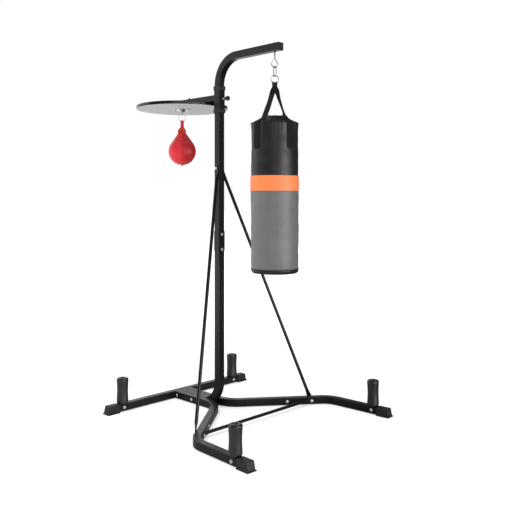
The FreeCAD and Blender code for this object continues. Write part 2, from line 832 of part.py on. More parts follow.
def bag_top_panel():
    """Gathered, domed top."""
    return bag_piece([
        (0, bag_top - bag_skin, 0), (0, bag_top, 0), (bag_gather_radius, bag_top, 20),
        (bag_rim_radius, bag_rim_height, 0), (bag_rim_radius, bag_rim_height - bag_skin, 0),
        (bag_gather_radius, bag_top - bag_skin, 17),
    ])


def bag_tube(top, top_radius, bottom, bottom_radius):
    """Sewn tube of the bag's skin between two heights."""
    return bag_piece([
        (top_radius - bag_skin, top, 0), (top_radius, top, 0),
        (bottom_radius, bottom, 0), (bottom_radius - bag_skin, bottom, 0),
    ])


def bag_band():
    """Raised coloured band between the two skins."""
    inner = bag_radius_above_band - bag_skin
    return bag_piece([
        (inner, band_top, 0), (band_radius, band_top, 1.5), (band_radius, band_bottom, 1.5), (inner, band_bottom, 0),
    ])


def bag_bottom_panel():
    """Flat bottom with a rounded edge."""
    inner = bag_foot_radius - bag_skin
    return bag_piece([
        (0, bag_bottom, 0), (bag_foot_radius, bag_bottom, bag_foot_round), (bag_foot_radius, bag_foot_seam, 0),
        (inner, bag_foot_seam, 0), (inner, bag_bottom + bag_skin, bag_foot_round - bag_skin),
        (0, bag_bottom + bag_skin, 0),
    ])


def bag_filling():
    """Textile filling packed inside the skin."""
    room = bag_skin + contact_gap
    rim_floor = bag_rim_height - bag_skin - contact_gap
    top_floor = bag_top - bag_skin - contact_gap
    return bag_piece([
        (0, bag_bottom + room, 0), (bag_foot_radius - room, bag_bottom + room, bag_foot_round - bag_skin),
        (bag_foot_radius - room, bag_foot_seam, 0), (bag_radius_above_band - room, band_top, 0),
        (bag_rim_radius - room, rim_floor, 0), (bag_gather_radius, top_floor, 17), (0, top_floor, 0),
    ])


def offset_point(before, corner, after, distance):
    """Point at a distance outside two runs that meet at a corner, in a radial plane."""
    along = [unit(corner - before), unit(after - corner)]
    outward = [Vector(-run.z, 0, run.x) for run in along]
    middle = unit(outward[0] + outward[1])
    return corner + middle * (distance / middle.dot(outward[0]))


def top_panel_point(radius):
    """Point on the sloping part of the bag's top, in a radial plane."""
    share = (radius - bag_gather_radius) / (bag_rim_radius - bag_gather_radius)
    return Vector(radius, 0, bag_top - share * bag_rim_drop)


def bag_strap(direction_degrees):
    """Webbing strap from the sewn loop, spreading down to the rim, over it and down the side."""
    top = Vector(strap_top_radius, 0, knot_end - strap_thickness / 3 - contact_gap)
    crest = top_panel_point(strap_landing) + UP * 3
    slope = unit(crest - top)
    outward = Vector(-slope.z, 0, slope.x)
    length = (crest - top).Length
    narrow = Y_AXIS * (strap_top_width / 2)
    wide = Y_AXIS * (strap_width / 2)
    spread = top + slope * strap_taper
    corners = [top + narrow, spread + wide, crest + wide, crest - wide, spread - wide, top - narrow]
    free_run = Part.Face(Part.makePolygon(corners + corners[:1])).extrude(outward * strap_thickness)

    inner_end = top_panel_point(strap_landing - 6)
    rim = Vector(bag_rim_radius, 0, bag_rim_height)
    tail_share = (bag_rim_height - strap_tail_end) / (bag_rim_height - band_top)
    tail_radius = bag_rim_radius + tail_share * (bag_radius_above_band - bag_rim_radius)
    tail = Vector(tail_radius, 0, strap_tail_end)
    run = unit(rim - inner_end)
    side_run = unit(tail - rim)
    rows = []
    for distance in (contact_gap, contact_gap + strap_thickness):
        start = inner_end + Vector(-run.z, 0, run.x) * distance
        corner = offset_point(inner_end, rim, tail, distance)
        end = tail + Vector(-side_run.z, 0, side_run.x) * distance
        rows.append([start, corner, end])
    band = rows[0] + rows[1][::-1]
    wrap = Part.Face(Part.makePolygon(band + band[:1]))
    wrap.rotate(Vector(0, 0, 0), UP, -60)
    wrap = wrap.revolve(Vector(0, 0, 0), UP, 120)
    slab = Part.makeBox(2 * bag_rim_radius, strap_width, bag_top, Vector(10, -strap_width / 2, bag_bottom))
    strap = fused([free_run, wrap.common(slab)])
    strap.rotate(Vector(0, 0, 0), UP, direction_degrees)
    strap.translate(hanger_axis(0))
    return strap


# ---- Carriage, board and pin

def slide_sleeve():
    """Square sleeve that slides on the post, with the pin's hole in its front."""
    size = tube + 2 * carriage_gap + 2 * carriage_sleeve_wall
    path = [(at(0, 0, carriage_top - carriage_length), 0), (at(0, 0, carriage_top), 0)]
    sleeve = bar_along(path, square_section(X_AXIS, size, carriage_sleeve_wall, tube_corner + carriage_gap))
    return sleeve.cut(cylinder(at(0, tube, pin_height), at(0, 0, pin_height), pin_hole))


def sleeve_collar(end_height, inward):
    """Plastic collar over one end of the sleeve, with a lip that guides on the post."""
    size = tube + 2 * carriage_gap + 2 * carriage_sleeve_wall
    outer_end = at(0, 0, end_height) - inward * collar_lip
    outer = square_section(X_AXIS, collar_width, 0, tube_corner)(outer_end, inward).extrude(inward * collar_height)
    pocket_face = square_section(X_AXIS, size + 2 * socket_gap, 0, tube_corner)(at(0, 0, end_height), inward)
    guide_face = square_section(X_AXIS, tube + 2 * collar_gap, 0, 1.0)(outer_end, inward)
    return outer.cut(pocket_face.extrude(inward * collar_height)).cut(guide_face.extrude(inward * collar_height))


def sleeve_collars():
    """Collars at both ends of the slide sleeve."""
    lower = sleeve_collar(carriage_top - carriage_length, UP)
    upper = sleeve_collar(carriage_top, UP * -1)
    return Part.makeCompound([lower, upper])


def platform_bolt_places():
    """Centres of the bolts that hold the board to its arm."""
    offset = platform_bolt_spacing / 2
    return [at(0, -board_setback + shift, board_underside) for shift in (offset, -offset)]


def platform_arm():
    """Square tube welded behind the slide sleeve, which carries the board under it."""
    start = half + carriage_gap + carriage_sleeve_wall
    axis = board_top + platform_arm_size / 2
    path = [(at(0, -start, axis), 0), (at(0, -board_setback - platform_arm_tail, axis), 0)]
    arm = bar_along(path, square_section(UP, platform_arm_size, tube_wall, tube_corner - 1))
    for place in platform_bolt_places():
        arm = arm.cut(cylinder(place, place + UP * 2 * tube, platform_bolt_hole))
    return arm


def platform_board():
    """Round board with holes for its bolts and screws."""
    centre = at(0, -board_setback, board_underside)
    board = cylinder(centre, centre + UP * board_thickness, board_diameter - 2 * rim_thickness)
    for place in platform_bolt_places():
        board = board.cut(cylinder(place - UP, place + UP * tube, platform_bolt_hole))
    for place in screw_places():
        depth = screw_length + contact_gap
        board = board.cut(cylinder(place - UP, place + UP * depth, screw_diameter + contact_gap))
    return board


def board_rim():
    """Edge band round the board."""
    centre = at(0, -board_setback, board_underside)
    outer = cylinder(centre, centre + UP * board_thickness, board_diameter)
    return outer.cut(cylinder(centre, centre + UP * board_thickness, board_diameter - 2 * rim_thickness))


def platform_bolts():
    """Bolts up through the board and its arm, with nuts on top."""
    grip = board_thickness + platform_arm_size
    bolt = domed_bolt(grip + platform_nut_height + bolt_tail, platform_bolt_diameter,
                      platform_head_diameter, platform_head_height)
    solids = []
    for place in platform_bolt_places():
        solids.append(stood(bolt, place, UP))
        solids.append(stood(nut(platform_nut_flats, platform_nut_height, platform_bolt_hole), place + UP * grip, UP))
    return Part.makeCompound(solids)


def sleeve_front():
    """How far the slide sleeve's front face stands in front of the post's axis."""
    return half + carriage_gap + carriage_sleeve_wall


def pin_barrel():
    """Threaded barrel welded on the sleeve, which guides the pin."""
    start = at(0, sleeve_front(), pin_height)
    forward = Y_AXIS * -1
    hexagon = stood(nut(barrel_diameter + 3, barrel_length * 0.4, pin_hole), start, forward)
    body = cylinder(start, start + forward * barrel_length, barrel_diameter)
    bore = pin_diameter + 2 * barrel_gap
    return fused([hexagon, body]).cut(cylinder(start, start + forward * barrel_length, bore))


def pull_pin():
    """Steel pin, parked with its tip just clear of the post."""
    tip = at(0, half + pin_tip_gap, pin_height)
    end = at(0, knob_forward + knob_socket, pin_height)
    return cylinder(tip, end, pin_diameter)


def pin_knob():
    """Round plastic knob moulded on the pin."""
    radius = knob_diameter / 2
    knob = turned_profile([
        (0, 0, 0), (radius * 0.7, 0, 0), (radius, knob_length * 0.4, 4),
        (radius, knob_length, 5), (0, knob_length, 0),
    ])
    knob = knob.cut(Part.makeCylinder(pin_diameter / 2, knob_socket))
    return stood(knob, at(0, knob_forward, pin_height), Y_AXIS * -1)


# ---- Swivel and speed ball

def board_axis(z):
    """Point on the vertical line through the board's centre."""
    return at(0, -board_setback, z)


def screw_places():
    """Centres of the swivel plate's screws, on the board's underside."""
    offset = screw_spacing / 2
    return [board_axis(board_underside) + Vector(u * offset, v * offset, 0)
            for u in (-1, 1) for v in (-1, 1)]


housing_foot = board_underside - plate_thickness - housing_depth
flange_top = housing_foot - flange_gap
lug_hole_height = flange_top - flange_height - lug_hole_drop
ball_ring_centre = lug_hole_height - ball_ring_radius
ball_ring_bottom = ball_ring_centre - ball_ring_radius
neck_top = ball_ring_bottom - ball_neck_drop
ball_bottom = neck_top - ball_height


def swivel_plate():
    """Pressed plate with a cone-shaped housing under its middle, open to the board."""
    underside = board_underside - plate_thickness
    reach = plate_side / 2
    signs = ((1, 1), (-1, 1), (-1, -1), (1, -1))
    corners = [(board_axis(underside) + Vector(u * reach, v * reach, 0), plate_corner) for u, v in signs]
    plate = Part.Face(outline(corners)).extrude(UP * plate_thickness)
    cone = Part.makeCone(housing_foot_diameter / 2, housing_top_diameter / 2, housing_depth, board_axis(housing_foot))
    body = fused([plate, cone])
    floor = housing_foot + housing_floor
    room = cylinder(board_axis(floor), board_axis(board_underside), rotor_head_diameter + 2 * shaft_gap)
    bore = cylinder(board_axis(housing_foot), board_axis(floor), neck_diameter + 2 * shaft_gap)
    body = body.cut(room).cut(bore)
    for place in screw_places():
        body = body.cut(cylinder(place - UP * plate_thickness, place, screw_diameter + contact_gap))
    return body


def swivel_screws():
    """Four screws that hold the swivel plate to the board."""
    length = screw_length + plate_thickness
    screw = domed_bolt(length, screw_diameter, screw_head_diameter, screw_head_height)
    seats = [place - UP * plate_thickness for place in screw_places()]
    return Part.makeCompound([stood(screw, seat, UP) for seat in seats])


def swivel_rotor():
    """Spindle with a head in the housing, a flange below it and a lug for the ring."""
    floor = housing_foot + housing_floor + shaft_gap
    head = cylinder(board_axis(floor), board_axis(floor + rotor_head_height), rotor_head_diameter)
    neck = cylinder(board_axis(flange_top), board_axis(floor), neck_diameter)
    flange = cylinder(board_axis(flange_top - flange_height), board_axis(flange_top), flange_diameter)
    hole = board_axis(lug_hole_height)
    lug_end = Part.makeCylinder(lug_width / 2, lug_thickness, hole - X_AXIS * (lug_thickness / 2), X_AXIS)
    corner = hole - Vector(lug_thickness / 2, lug_width / 2, 0)
    lug = Part.makeBox(lug_thickness, lug_width, lug_hole_drop, corner)
    rotor = fused([head, neck, flange, lug_end, lug])
    rotor = rotor.cut(cylinder(hole - X_AXIS * lug_width, hole + X_AXIS * lug_width, lug_hole))
    return turned_about(rotor, hole, swivel_turn)


def swivel_ring():
    """Ring that hangs in the rotor's lug."""
    normal = turned_direction(Y_AXIS, swivel_turn)
    return Part.makeTorus(ball_ring_radius, ball_ring_wire / 2, board_axis(ball_ring_centre), normal)


def pear_profile(inset):
    """(radius, height, round) corners of the ball's outline, drawn in by an inset."""
    radius = ball_diameter / 2 - inset
    shoulder = math.radians(ball_shoulder)
    centre = ball_bottom + ball_diameter / 2
    neck = ball_neck_diameter / 2 - inset
    shoulder_point = Vector(radius * math.cos(shoulder), 0, centre + radius * math.sin(shoulder))
    run = (shoulder_point.x - neck) / math.tan(shoulder)
    corner = Vector(neck, 0, shoulder_point.z + run)
    top = Vector(neck, 0, neck_top - inset)
    blend = neck_blend + inset
    start, middle, end, _ = corner_arc(shoulder_point, corner, top, blend)
    bottom = Vector(0, 0, centre - radius)
    low = math.radians(-20)
    on_sphere = Vector(radius * math.cos(low), 0, centre + radius * math.sin(low))
    edges = [
        Part.Arc(bottom, on_sphere, shoulder_point).toShape(),
        Part.makeLine(shoulder_point, start),
        Part.Arc(start, middle, end).toShape(),
        Part.makeLine(end, top),
        Part.makeLine(top, Vector(0, 0, top.z)),
        Part.makeLine(Vector(0, 0, top.z), bottom),
    ]
    return Part.Face(Part.Wire(edges)).revolve(Vector(0, 0, 0), UP, 360)


def ball_shell():
    """Pear-shaped leather shell, hollow for its bladder."""
    shell = pear_profile(0).cut(pear_profile(ball_wall))
    shell.translate(board_axis(0))
    return shell


def ball_bladder():
    """Inflated bladder inside the shell."""
    bladder = pear_profile(ball_wall + bladder_gap)
    bladder.translate(board_axis(0))
    return bladder


def ball_flap():
    """Round leather flap laid against the front of the neck, over the lacing."""
    disc = Part.makeCylinder(flap_diameter / 2, flap_thickness, Vector(0, 0, 0), Y_AXIS * -1)
    disc.rotate(Vector(0, 0, 0), X_AXIS, -flap_tilt)
    disc.translate(board_axis(neck_top - flap_drop) - Y_AXIS * flap_stand)
    return turned_about(disc, board_axis(0), swivel_turn)


def ball_valve():
    """Short rubber valve under the ball."""
    return cylinder(board_axis(ball_bottom - valve_length), board_axis(ball_bottom), valve_diameter)


def make_parts():
    """Every piece of the part by its node name."""
    parts = {
        "rear_crossbar": rear_crossbar(),
        "right_leg": right_leg(),
        "lower_post": lower_post(),
        "joint_sleeve": joint_sleeve(),
        "upper_post": upper_post(),
        "arm_end_plug": arm_end_plug(),
        "hub_bolts": hub_bolts(),
        "post_bolts": post_bolts(),
        "cross_brace": cross_brace(),
        "eyebolt": eyebolt(),
        "eyebolt_nuts": eyebolt_nuts(),
        "hanging_link": hanging_link(),
        "hanging_ring": hanging_ring(),
        "strap_loop": loop_on_ring(hanger_axis(ring_centre), hanger_turn, ring_radius, ring_wire,
                                   wire_gap, strap_thickness, knot_width, knot_end),
        "bag_filling": bag_filling(),
        "bag_top_panel": bag_top_panel(),
        "bag_upper_shell": bag_tube(bag_rim_height - bag_skin, bag_rim_radius, band_top, bag_radius_above_band),
        "bag_band": bag_band(),
        "bag_lower_shell": bag_tube(band_bottom, bag_radius_below_band, bag_foot_seam, bag_foot_radius),
        "bag_bottom_panel": bag_bottom_panel(),
        "slide_sleeve": slide_sleeve(),
        "sleeve_collars": sleeve_collars(),
        "platform_arm": platform_arm(),
        "platform_board": platform_board(),
        "board_rim": board_rim(),
        "platform_bolts": platform_bolts(),
        "pin_barrel": pin_barrel(),
        "pull_pin": pull_pin(),
        "pin_knob": pin_knob(),
        "swivel_plate": swivel_plate(),
        "swivel_screws": swivel_screws(),
        "swivel_rotor": swivel_rotor(),
        "swivel_ring": swivel_ring(),
        "ball_loop": loop_on_ring(board_axis(ball_ring_centre), swivel_turn, ball_ring_radius, ball_ring_wire,
                                  loop_gap, loop_thickness, loop_width, neck_top),
        "ball_flap": ball_flap(),
        "ball_shell": ball_shell(),
        "ball_bladder": ball_bladder(),
        "ball_valve": ball_valve(),
    }
    parts["left_leg"] = mirrored(parts["right_leg"])
    upper, lower = right_braces()
    parts["right_brace_upper"] = upper
    parts["right_brace_lower"] = lower
    parts["left_brace_upper"] = mirrored(upper)
    parts["left_brace_lower"] = mirrored(lower)
    for name, direction in (("front", -90), ("right", 0), ("rear", 90), ("left", 180)):
        parts[f"bag_strap_{name}"] = bag_strap(direction + bag_turn)
    make_pegs_and_caps(parts)
    return parts


os.makedirs("parts", exist_ok=True)
for node, shape in sorted(make_parts().items()):
    shape.exportStep(f"parts/{node}.step")
    print(f"{node}: {len(shape.Solids)} solid(s), valid {shape.isValid()}, {shape.Volume / 1000:.1f} cm3")
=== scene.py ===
import bmesh
import bpy
import math
import numpy as np
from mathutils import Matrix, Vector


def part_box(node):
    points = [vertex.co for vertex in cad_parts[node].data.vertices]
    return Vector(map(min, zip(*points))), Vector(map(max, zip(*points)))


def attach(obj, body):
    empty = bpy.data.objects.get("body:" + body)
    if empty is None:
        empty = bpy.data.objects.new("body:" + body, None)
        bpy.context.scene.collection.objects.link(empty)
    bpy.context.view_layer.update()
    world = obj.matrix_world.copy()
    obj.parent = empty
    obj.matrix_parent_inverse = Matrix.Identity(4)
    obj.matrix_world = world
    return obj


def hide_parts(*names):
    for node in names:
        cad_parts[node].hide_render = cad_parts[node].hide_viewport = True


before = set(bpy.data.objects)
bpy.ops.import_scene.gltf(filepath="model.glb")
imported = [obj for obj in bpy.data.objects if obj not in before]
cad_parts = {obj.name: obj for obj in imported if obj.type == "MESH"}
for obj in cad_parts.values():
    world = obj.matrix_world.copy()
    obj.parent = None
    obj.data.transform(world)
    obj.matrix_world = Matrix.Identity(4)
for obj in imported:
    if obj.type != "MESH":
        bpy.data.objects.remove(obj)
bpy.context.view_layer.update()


# ---------------------------------------------------------------- The studio
# A white sweep under three soft lamps: a key lamp in front, and unseen fills from the left and above.
# Reflections show a bright wall behind left and a window in front. The rest of what they show is dark,
# so the faces turned to the right of the picture stay black.

scene = bpy.context.scene
scene.view_settings.view_transform = "Standard"

lens = bpy.data.cameras.new("camera")
lens.lens = 48.58
lens.sensor_width = 36.0
picture_side, horizon_drop = 512, 56
lens.shift_y = -horizon_drop / picture_side
camera = bpy.data.objects.new("camera", lens)
camera.location = (-2.9117, -3.0897, 1.2972)
camera.rotation_euler = (math.pi / 2, 0, -0.7920)
scene.collection.objects.link(camera)
scene.camera = camera


def soft_lamp(name, place, target, width, height, power, mirrored):
    """Area lamp at a place, turned to face a target; one that isn't mirrored only fills."""
    data = bpy.data.lights.new(name, "AREA")
    data.shape = "RECTANGLE"
    data.size = width
    data.size_y = height
    data.energy = power
    lamp = bpy.data.objects.new(name, data)
    lamp.location = place
    lamp.visible_glossy = mirrored
    toward = np.array(target) - np.array(place)
    tilt = math.acos(-toward[2] / np.linalg.norm(toward))
    lamp.rotation_euler = (tilt, 0, math.atan2(toward[1], toward[0]) - math.pi / 2)
    scene.collection.objects.link(lamp)


soft_lamp("key_lamp", (0.6, -5.4, 1.2), (0, -0.3, 1.2), 4.4, 2.4, 150, True)
soft_lamp("left_lamp", (-4.6, 1.0, 1.3), (0, 0, 1.3), 2.6, 2.0, 85, False)
soft_lamp("top_lamp", (-0.8, 0.4, 4.8), (0, 0, 0), 3.6, 3.6, 140, False)


class Signal:
    """A shader socket that is used in arithmetic like a number; node() adds any other node."""

    def __init__(self, tree, socket=None):
        self.tree = tree
        self.socket = socket

    def node(self, kind, settings=None, inputs=None, output=0):
        made = self.tree.nodes.new("ShaderNode" + kind)
        for name, value in (settings or {}).items():
            setattr(made, name, value)
        for name, value in (inputs or {}).items():
            if isinstance(value, Signal):
                self.tree.links.new(value.socket, made.inputs[name])
            else:
                made.inputs[name].default_value = value
        return Signal(self.tree, made.outputs[output])

    def math(self, operation, *others):
        return self.node("Math", {"operation": operation}, dict(enumerate((self, *others))))

    def __add__(self, other):
        return self.math("ADD", other)

    __radd__ = __add__

    def __sub__(self, other):
        return self.math("SUBTRACT", other)

    def __rsub__(self, other):
        return self.node("Math", {"operation": "SUBTRACT"}, {0: other, 1: self})

    def __mul__(self, other):
        return self.math("MULTIPLY", other)

    __rmul__ = __mul__

    def between(self, low, high):
        """0 below low, 1 above high, and a straight ramp from one to the other."""
        return self.node("MapRange", {}, {"Value": self, "From Min": low, "From Max": high})

    def mixed(self, first, second):
        """The first colour where the signal is 0 and the second where it is 1."""
        colors = {6: first, 7: second}
        whole = {key: (*value, 1) if isinstance(value, tuple) else value for key, value in colors.items()}
        return self.node("Mix", {"data_type": "RGBA"}, {0: self, **whole}, output=2)

    def feed(self, shader, name):
        self.tree.links.new(self.socket, shader.inputs[name])


def finish(name, **constants):
    """New material: gives the material, its shader with constant sockets set, and Object coordinates."""
    material = bpy.data.materials.new(name)
    material.use_nodes = True
    shader = material.node_tree.nodes["Principled BSDF"]
    for socket, value in constants.items():
        shader.inputs[socket.replace("_", " ")].default_value = value
    place = Signal(material.node_tree).node("TexCoord", output="Object")
    return material, shader, place


def noise(place, scale, detail=2.0, roughness=0.5):
    """Fractal noise from 0 to 1; scale is in features per metre."""
    inputs = {"Vector": place, "Scale": scale, "Detail": detail, "Roughness": roughness}
    return place.node("TexNoise", {}, inputs)


def relief(height, depth, shader, strength=1.0):
    """Bump of a height signal, in metres from low to high, on a shader."""
    bump = height.node("Bump", {}, {"Height": height, "Distance": depth, "Strength": strength})
    bump.feed(shader, "Normal")


def seen_rays(signal):
    """Two masks: 1 for rays straight from the camera, and 1 for those of a reflection or a clear piece."""
    straight, mirror, clear = (signal.node("LightPath", output=name)
                               for name in ("Is Camera Ray", "Is Glossy Ray", "Is Transmission Ray"))
    return straight, mirror.math("MAXIMUM", clear)


world = bpy.data.worlds.new("white_sweep")
world.use_nodes = True
scene.world = world
background = world.node_tree.nodes["Background"]
sky = Signal(world.node_tree).node("TexCoord", output="Generated")
sky_x, sky_y, sky_z = (sky.node("SeparateXYZ", {}, {0: sky}, output=k) for k in (0, 1, 2))
sky_straight, sky_mirror = seen_rays(sky)
sky_wall = 3.6 * sky_y.between(0.60, 0.78)
sky_window = (-0.174 * sky_x - 0.985 * sky_y).between(0.68, 0.95)
sky_front = 1.6 * (-0.707 * sky_x - 0.707 * sky_y).between(0.90, 0.985) * sky_z.between(0.02, 0.12)
sky_ceiling = 1.0 - 0.75 * sky_z.between(0.45, 0.85)
lit = sky_straight.math("MAXIMUM", sky_mirror * sky_ceiling * (0.05 + sky_wall + sky_window + sky_front))
beyond = 1.0 - sky_straight.math("MAXIMUM", sky_mirror)
(lit + 0.36 * beyond).mixed((0.0, 0.0, 0.0), (1.0, 1.0, 1.0)).feed(background, "Color")
world.cycles.sampling_method = "NONE"

floor_reach = 60
floor_corners = [(floor_reach * x, floor_reach * y, 0) for x, y in ((-1, -1), (1, -1), (1, 1), (-1, 1))]
floor_mesh = bpy.data.meshes.new("studio_floor")
floor_mesh.from_pydata(floor_corners, [], [(0, 1, 2, 3)])
floor = bpy.data.objects.new("studio_floor", floor_mesh)
scene.collection.objects.link(floor)
paper, paper_shader, paper_place = finish("white_paper", Roughness=0.9)
paper_x, paper_y = (paper_place.node("SeparateXYZ", {}, {0: paper_place}, output=k) for k in (0, 1))
paper_far = (paper_x * paper_x + paper_y * paper_y).between(1.2, 9.0)
paper_straight, paper_mirror = seen_rays(paper_place)
# Painted reflections: to reflected rays the floor's colour is painted darker, most of all to the right, and
# the floor glows far behind left.
reflected_glow_behind_left = (0.966 * paper_y - 0.259 * paper_x).between(1.0, 5.0)
reflected_dark_to_right = (paper_x - paper_y).between(0.2, 1.2)
paper_tone = 1.0 - paper_mirror * (0.5 + 0.44 * reflected_dark_to_right)
paper_tone.mixed((0.0, 0.0, 0.0), (0.82, 0.82, 0.82)).feed(paper_shader, "Base Color")
# To the camera the floor glows faintly near the stand and fully far off. To reflections it glows behind left
# as a painted reflection.
shown = (paper_straight * (0.45 + 0.55 * paper_far)).math("MAXIMUM", paper_mirror * reflected_glow_behind_left)
shown.mixed((0.0, 0.0, 0.0), (1.0, 1.0, 1.0)).feed(paper_shader, "Emission Color")
paper_shader.inputs["Emission Strength"].default_value = 1.0
paper.cycles.emission_sampling = "NONE"
floor_mesh.materials.append(paper)


# ---------------------------------------------------------------- Steel tubes of the stand and its carriage
# Square steel tube, bent cold, and round brace tube with pressed-flat ends, all in black powder
# coat. The coat has a fine orange peel, and a little dust lies on what faces up.

coat, coat_shader, coat_place = finish("black_powder_coat", Specular_IOR_Level=0.42)
peel = noise(coat_place, 650, 3)
streak = noise(coat_place, 9, 3)
upward = coat_place.node("NewGeometry", output="Normal")
facing_up = upward.node("SeparateXYZ", {}, {0: upward}, output=2).between(0.55, 1.0)
dust = facing_up * noise(coat_place, 28, 5, 0.7).between(0.35, 0.8)
dust.mixed((0.006, 0.006, 0.007), (0.024, 0.024, 0.025)).feed(coat_shader, "Base Color")
(0.27 + 0.08 * streak + 0.10 * dust).feed(coat_shader, "Roughness")
relief(peel, 0.00012, coat_shader, 0.5)


def dress(material, *nodes):
    """Gives CAD nodes a material."""
    for node in nodes:
        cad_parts[node].material_slots[0].material = material


dress(coat, "rear_crossbar", "left_leg", "right_leg", "lower_post", "joint_sleeve", "upper_post",
      "cross_brace", "left_brace_upper", "left_brace_lower", "right_brace_upper", "right_brace_lower",
      "slide_sleeve", "platform_arm")


def grid_piece(name, points, along, across, wrap_along=False, wrap_across=False):
    """Smooth piece through a grid of points, with a UV map in metres from the two ways' distances.

    Each cell of the grid is one face. A wrapped way joins its last row to its first, and its
    distances have one value more than the grid has rows. Rows that meet in a point are merged.
    """
    rows, columns = points.shape[:2]
    i, j = np.meshgrid(np.arange(rows if wrap_along else rows - 1),
                       np.arange(columns if wrap_across else columns - 1), indexing="ij")
    i, j = i.ravel(), j.ravel()
    corners = [(i, j), (i + 1, j), (i + 1, j + 1), (i, j + 1)]
    faces = np.stack([(a % rows) * columns + b % columns for a, b in corners], axis=1)
    uv = np.stack([np.stack([along[a], across[b]], axis=1) for a, b in corners], axis=1)
    mesh = bpy.data.meshes.new(name)
    mesh.from_pydata(points.reshape(-1, 3).tolist(), [], faces.tolist())
    mesh.uv_layers.new(name="UVMap").data.foreach_set("uv", uv.astype(np.float32).ravel())
    merged = bmesh.new()
    merged.from_mesh(mesh)
    bmesh.ops.remove_doubles(merged, verts=merged.verts, dist=1e-6)
    bmesh.ops.recalc_face_normals(merged, faces=merged.faces)
    merged.to_mesh(mesh)
    merged.free()
    mesh.polygons.foreach_set("use_smooth", np.ones(len(mesh.polygons), dtype=bool))
    piece = bpy.data.objects.new(name, mesh)
    scene.collection.objects.link(piece)
    return piece


def distances(points):
    """Distance along a row of points, from 0 at the first."""
    steps = np.linalg.norm(np.diff(points, axis=0), axis=1)
    return np.concatenate([[0.0], np.cumsum(steps)])


def complete(piece, material, body):
    """Gives a new piece its material and slot, and lets it ride on a body."""
    piece.data.materials.append(material)
    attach(piece, body)
    return piece


def full_turn(count):
    """Angles of a full turn in equal steps, without the last, which is the first again."""
    return np.linspace(0, 2 * np.pi, count + 1)[:-1]


def round_lengths(radius, count):
    """Distances along a circle in equal steps, from 0 to its whole length."""
    return np.linspace(0, 2 * np.pi * radius, count + 1)


def round_section(turn, first, second):
    """Circle of radius 1 at angles, in the plane of two directions or of each pair of a row of them."""
    first, second = np.asarray(first)[..., None, :], np.asarray(second)[..., None, :]
    return np.cos(turn)[:, None] * first + np.sin(turn)[:, None] * second


def weld_bead(name, path, normal, size, body):
    """Bead round a closed flat path: a round section whose size ripples as the weld was laid."""
    step, ripple_length = 0.0008, 0.0032
    closed = np.vstack([path, path[:1]])
    run = distances(closed)
    count = int(run[-1] / step)
    places = np.linspace(0, run[-1], count, endpoint=False)
    line = np.stack([np.interp(places, run, closed[:, k]) for k in range(3)], axis=1)
    ahead = np.roll(line, -1, axis=0) - np.roll(line, 1, axis=0)
    ahead /= np.linalg.norm(ahead, axis=1)[:, None]
    outward = np.cross(ahead, normal)
    ripple = size * (1 + 0.16 * np.abs(np.sin(places * np.pi / ripple_length)))
    points = line[:, None, :] + ripple[:, None, None] * round_section(full_turn(8), outward, normal)
    across = round_lengths(size, 8)
    bead = grid_piece(name, points, np.append(places, run[-1]), across, True, True)
    return complete(bead, coat, body)


def rounded_square(half, corner, centre, first, second):
    """Closed path round a square with quarter-circle corners, in the plane of two directions."""
    quarter = np.linspace(0, np.pi / 2, 7)
    parts = []
    for k, signs in enumerate(((1, 1), (-1, 1), (-1, -1), (1, -1))):
        angle = quarter + k * np.pi / 2
        round_corner = corner * np.stack([np.cos(angle), np.sin(angle)], axis=1)
        parts.append(np.array(signs) * (half - corner) + round_corner)
    flat = np.vstack(parts)
    return np.array(centre) + flat[:, :1] * np.array(first) + flat[:, 1:] * np.array(second)


sleeve_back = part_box("slide_sleeve")[1][1]
arm_low, arm_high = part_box("platform_arm")
arm_middle = (0, sleeve_back, (arm_low[2] + arm_high[2]) / 2)
arm_outline = rounded_square(0.0203, 0.003, arm_middle, (1, 0, 0), (0, 0, 1))
weld_bead("arm_weld", arm_outline, (0, 1, 0), 0.0022, "carriage")


# ---------------------------------------------------------------- Plastic caps, plug, collars and knob
# Injection-moulded black plastic with a fine spark-eroded skin. Four foot caps carry the stand, a
# plug closes the arm, two collars guide the sleeve on the post, and the knob is moulded on the pin.

plastic, plastic_shader, plastic_place = finish("black_moulded_plastic", Specular_IOR_Level=0.4)
skin = noise(plastic_place, 1400, 2)
scuff = noise(plastic_place, 45, 6, 0.75).between(0.52, 0.78)
scuff.mixed((0.018, 0.018, 0.019), (0.040, 0.040, 0.041)).feed(plastic_shader, "Base Color")
(0.46 + 0.16 * scuff).feed(plastic_shader, "Roughness")
relief(skin, 0.00009, plastic_shader, 0.6)
foot_places = ("front_left", "front_right", "rear_left", "rear_right")
caps = [f"foot_cap_{place}" for place in foot_places]
dress(plastic, "arm_end_plug", "sleeve_collars", "pin_knob", *caps)


# ---------------------------------------------------------------- Bolts, nuts, pegs, pin and hanging hardware
# Plated steel. Satin zinc is on the stand's carriage bolts and nuts and the ball's ring. Bright plate
# is on the pegs, the pull pin and its barrel, the swivel, the eyebolt, its link and the bag's ring.

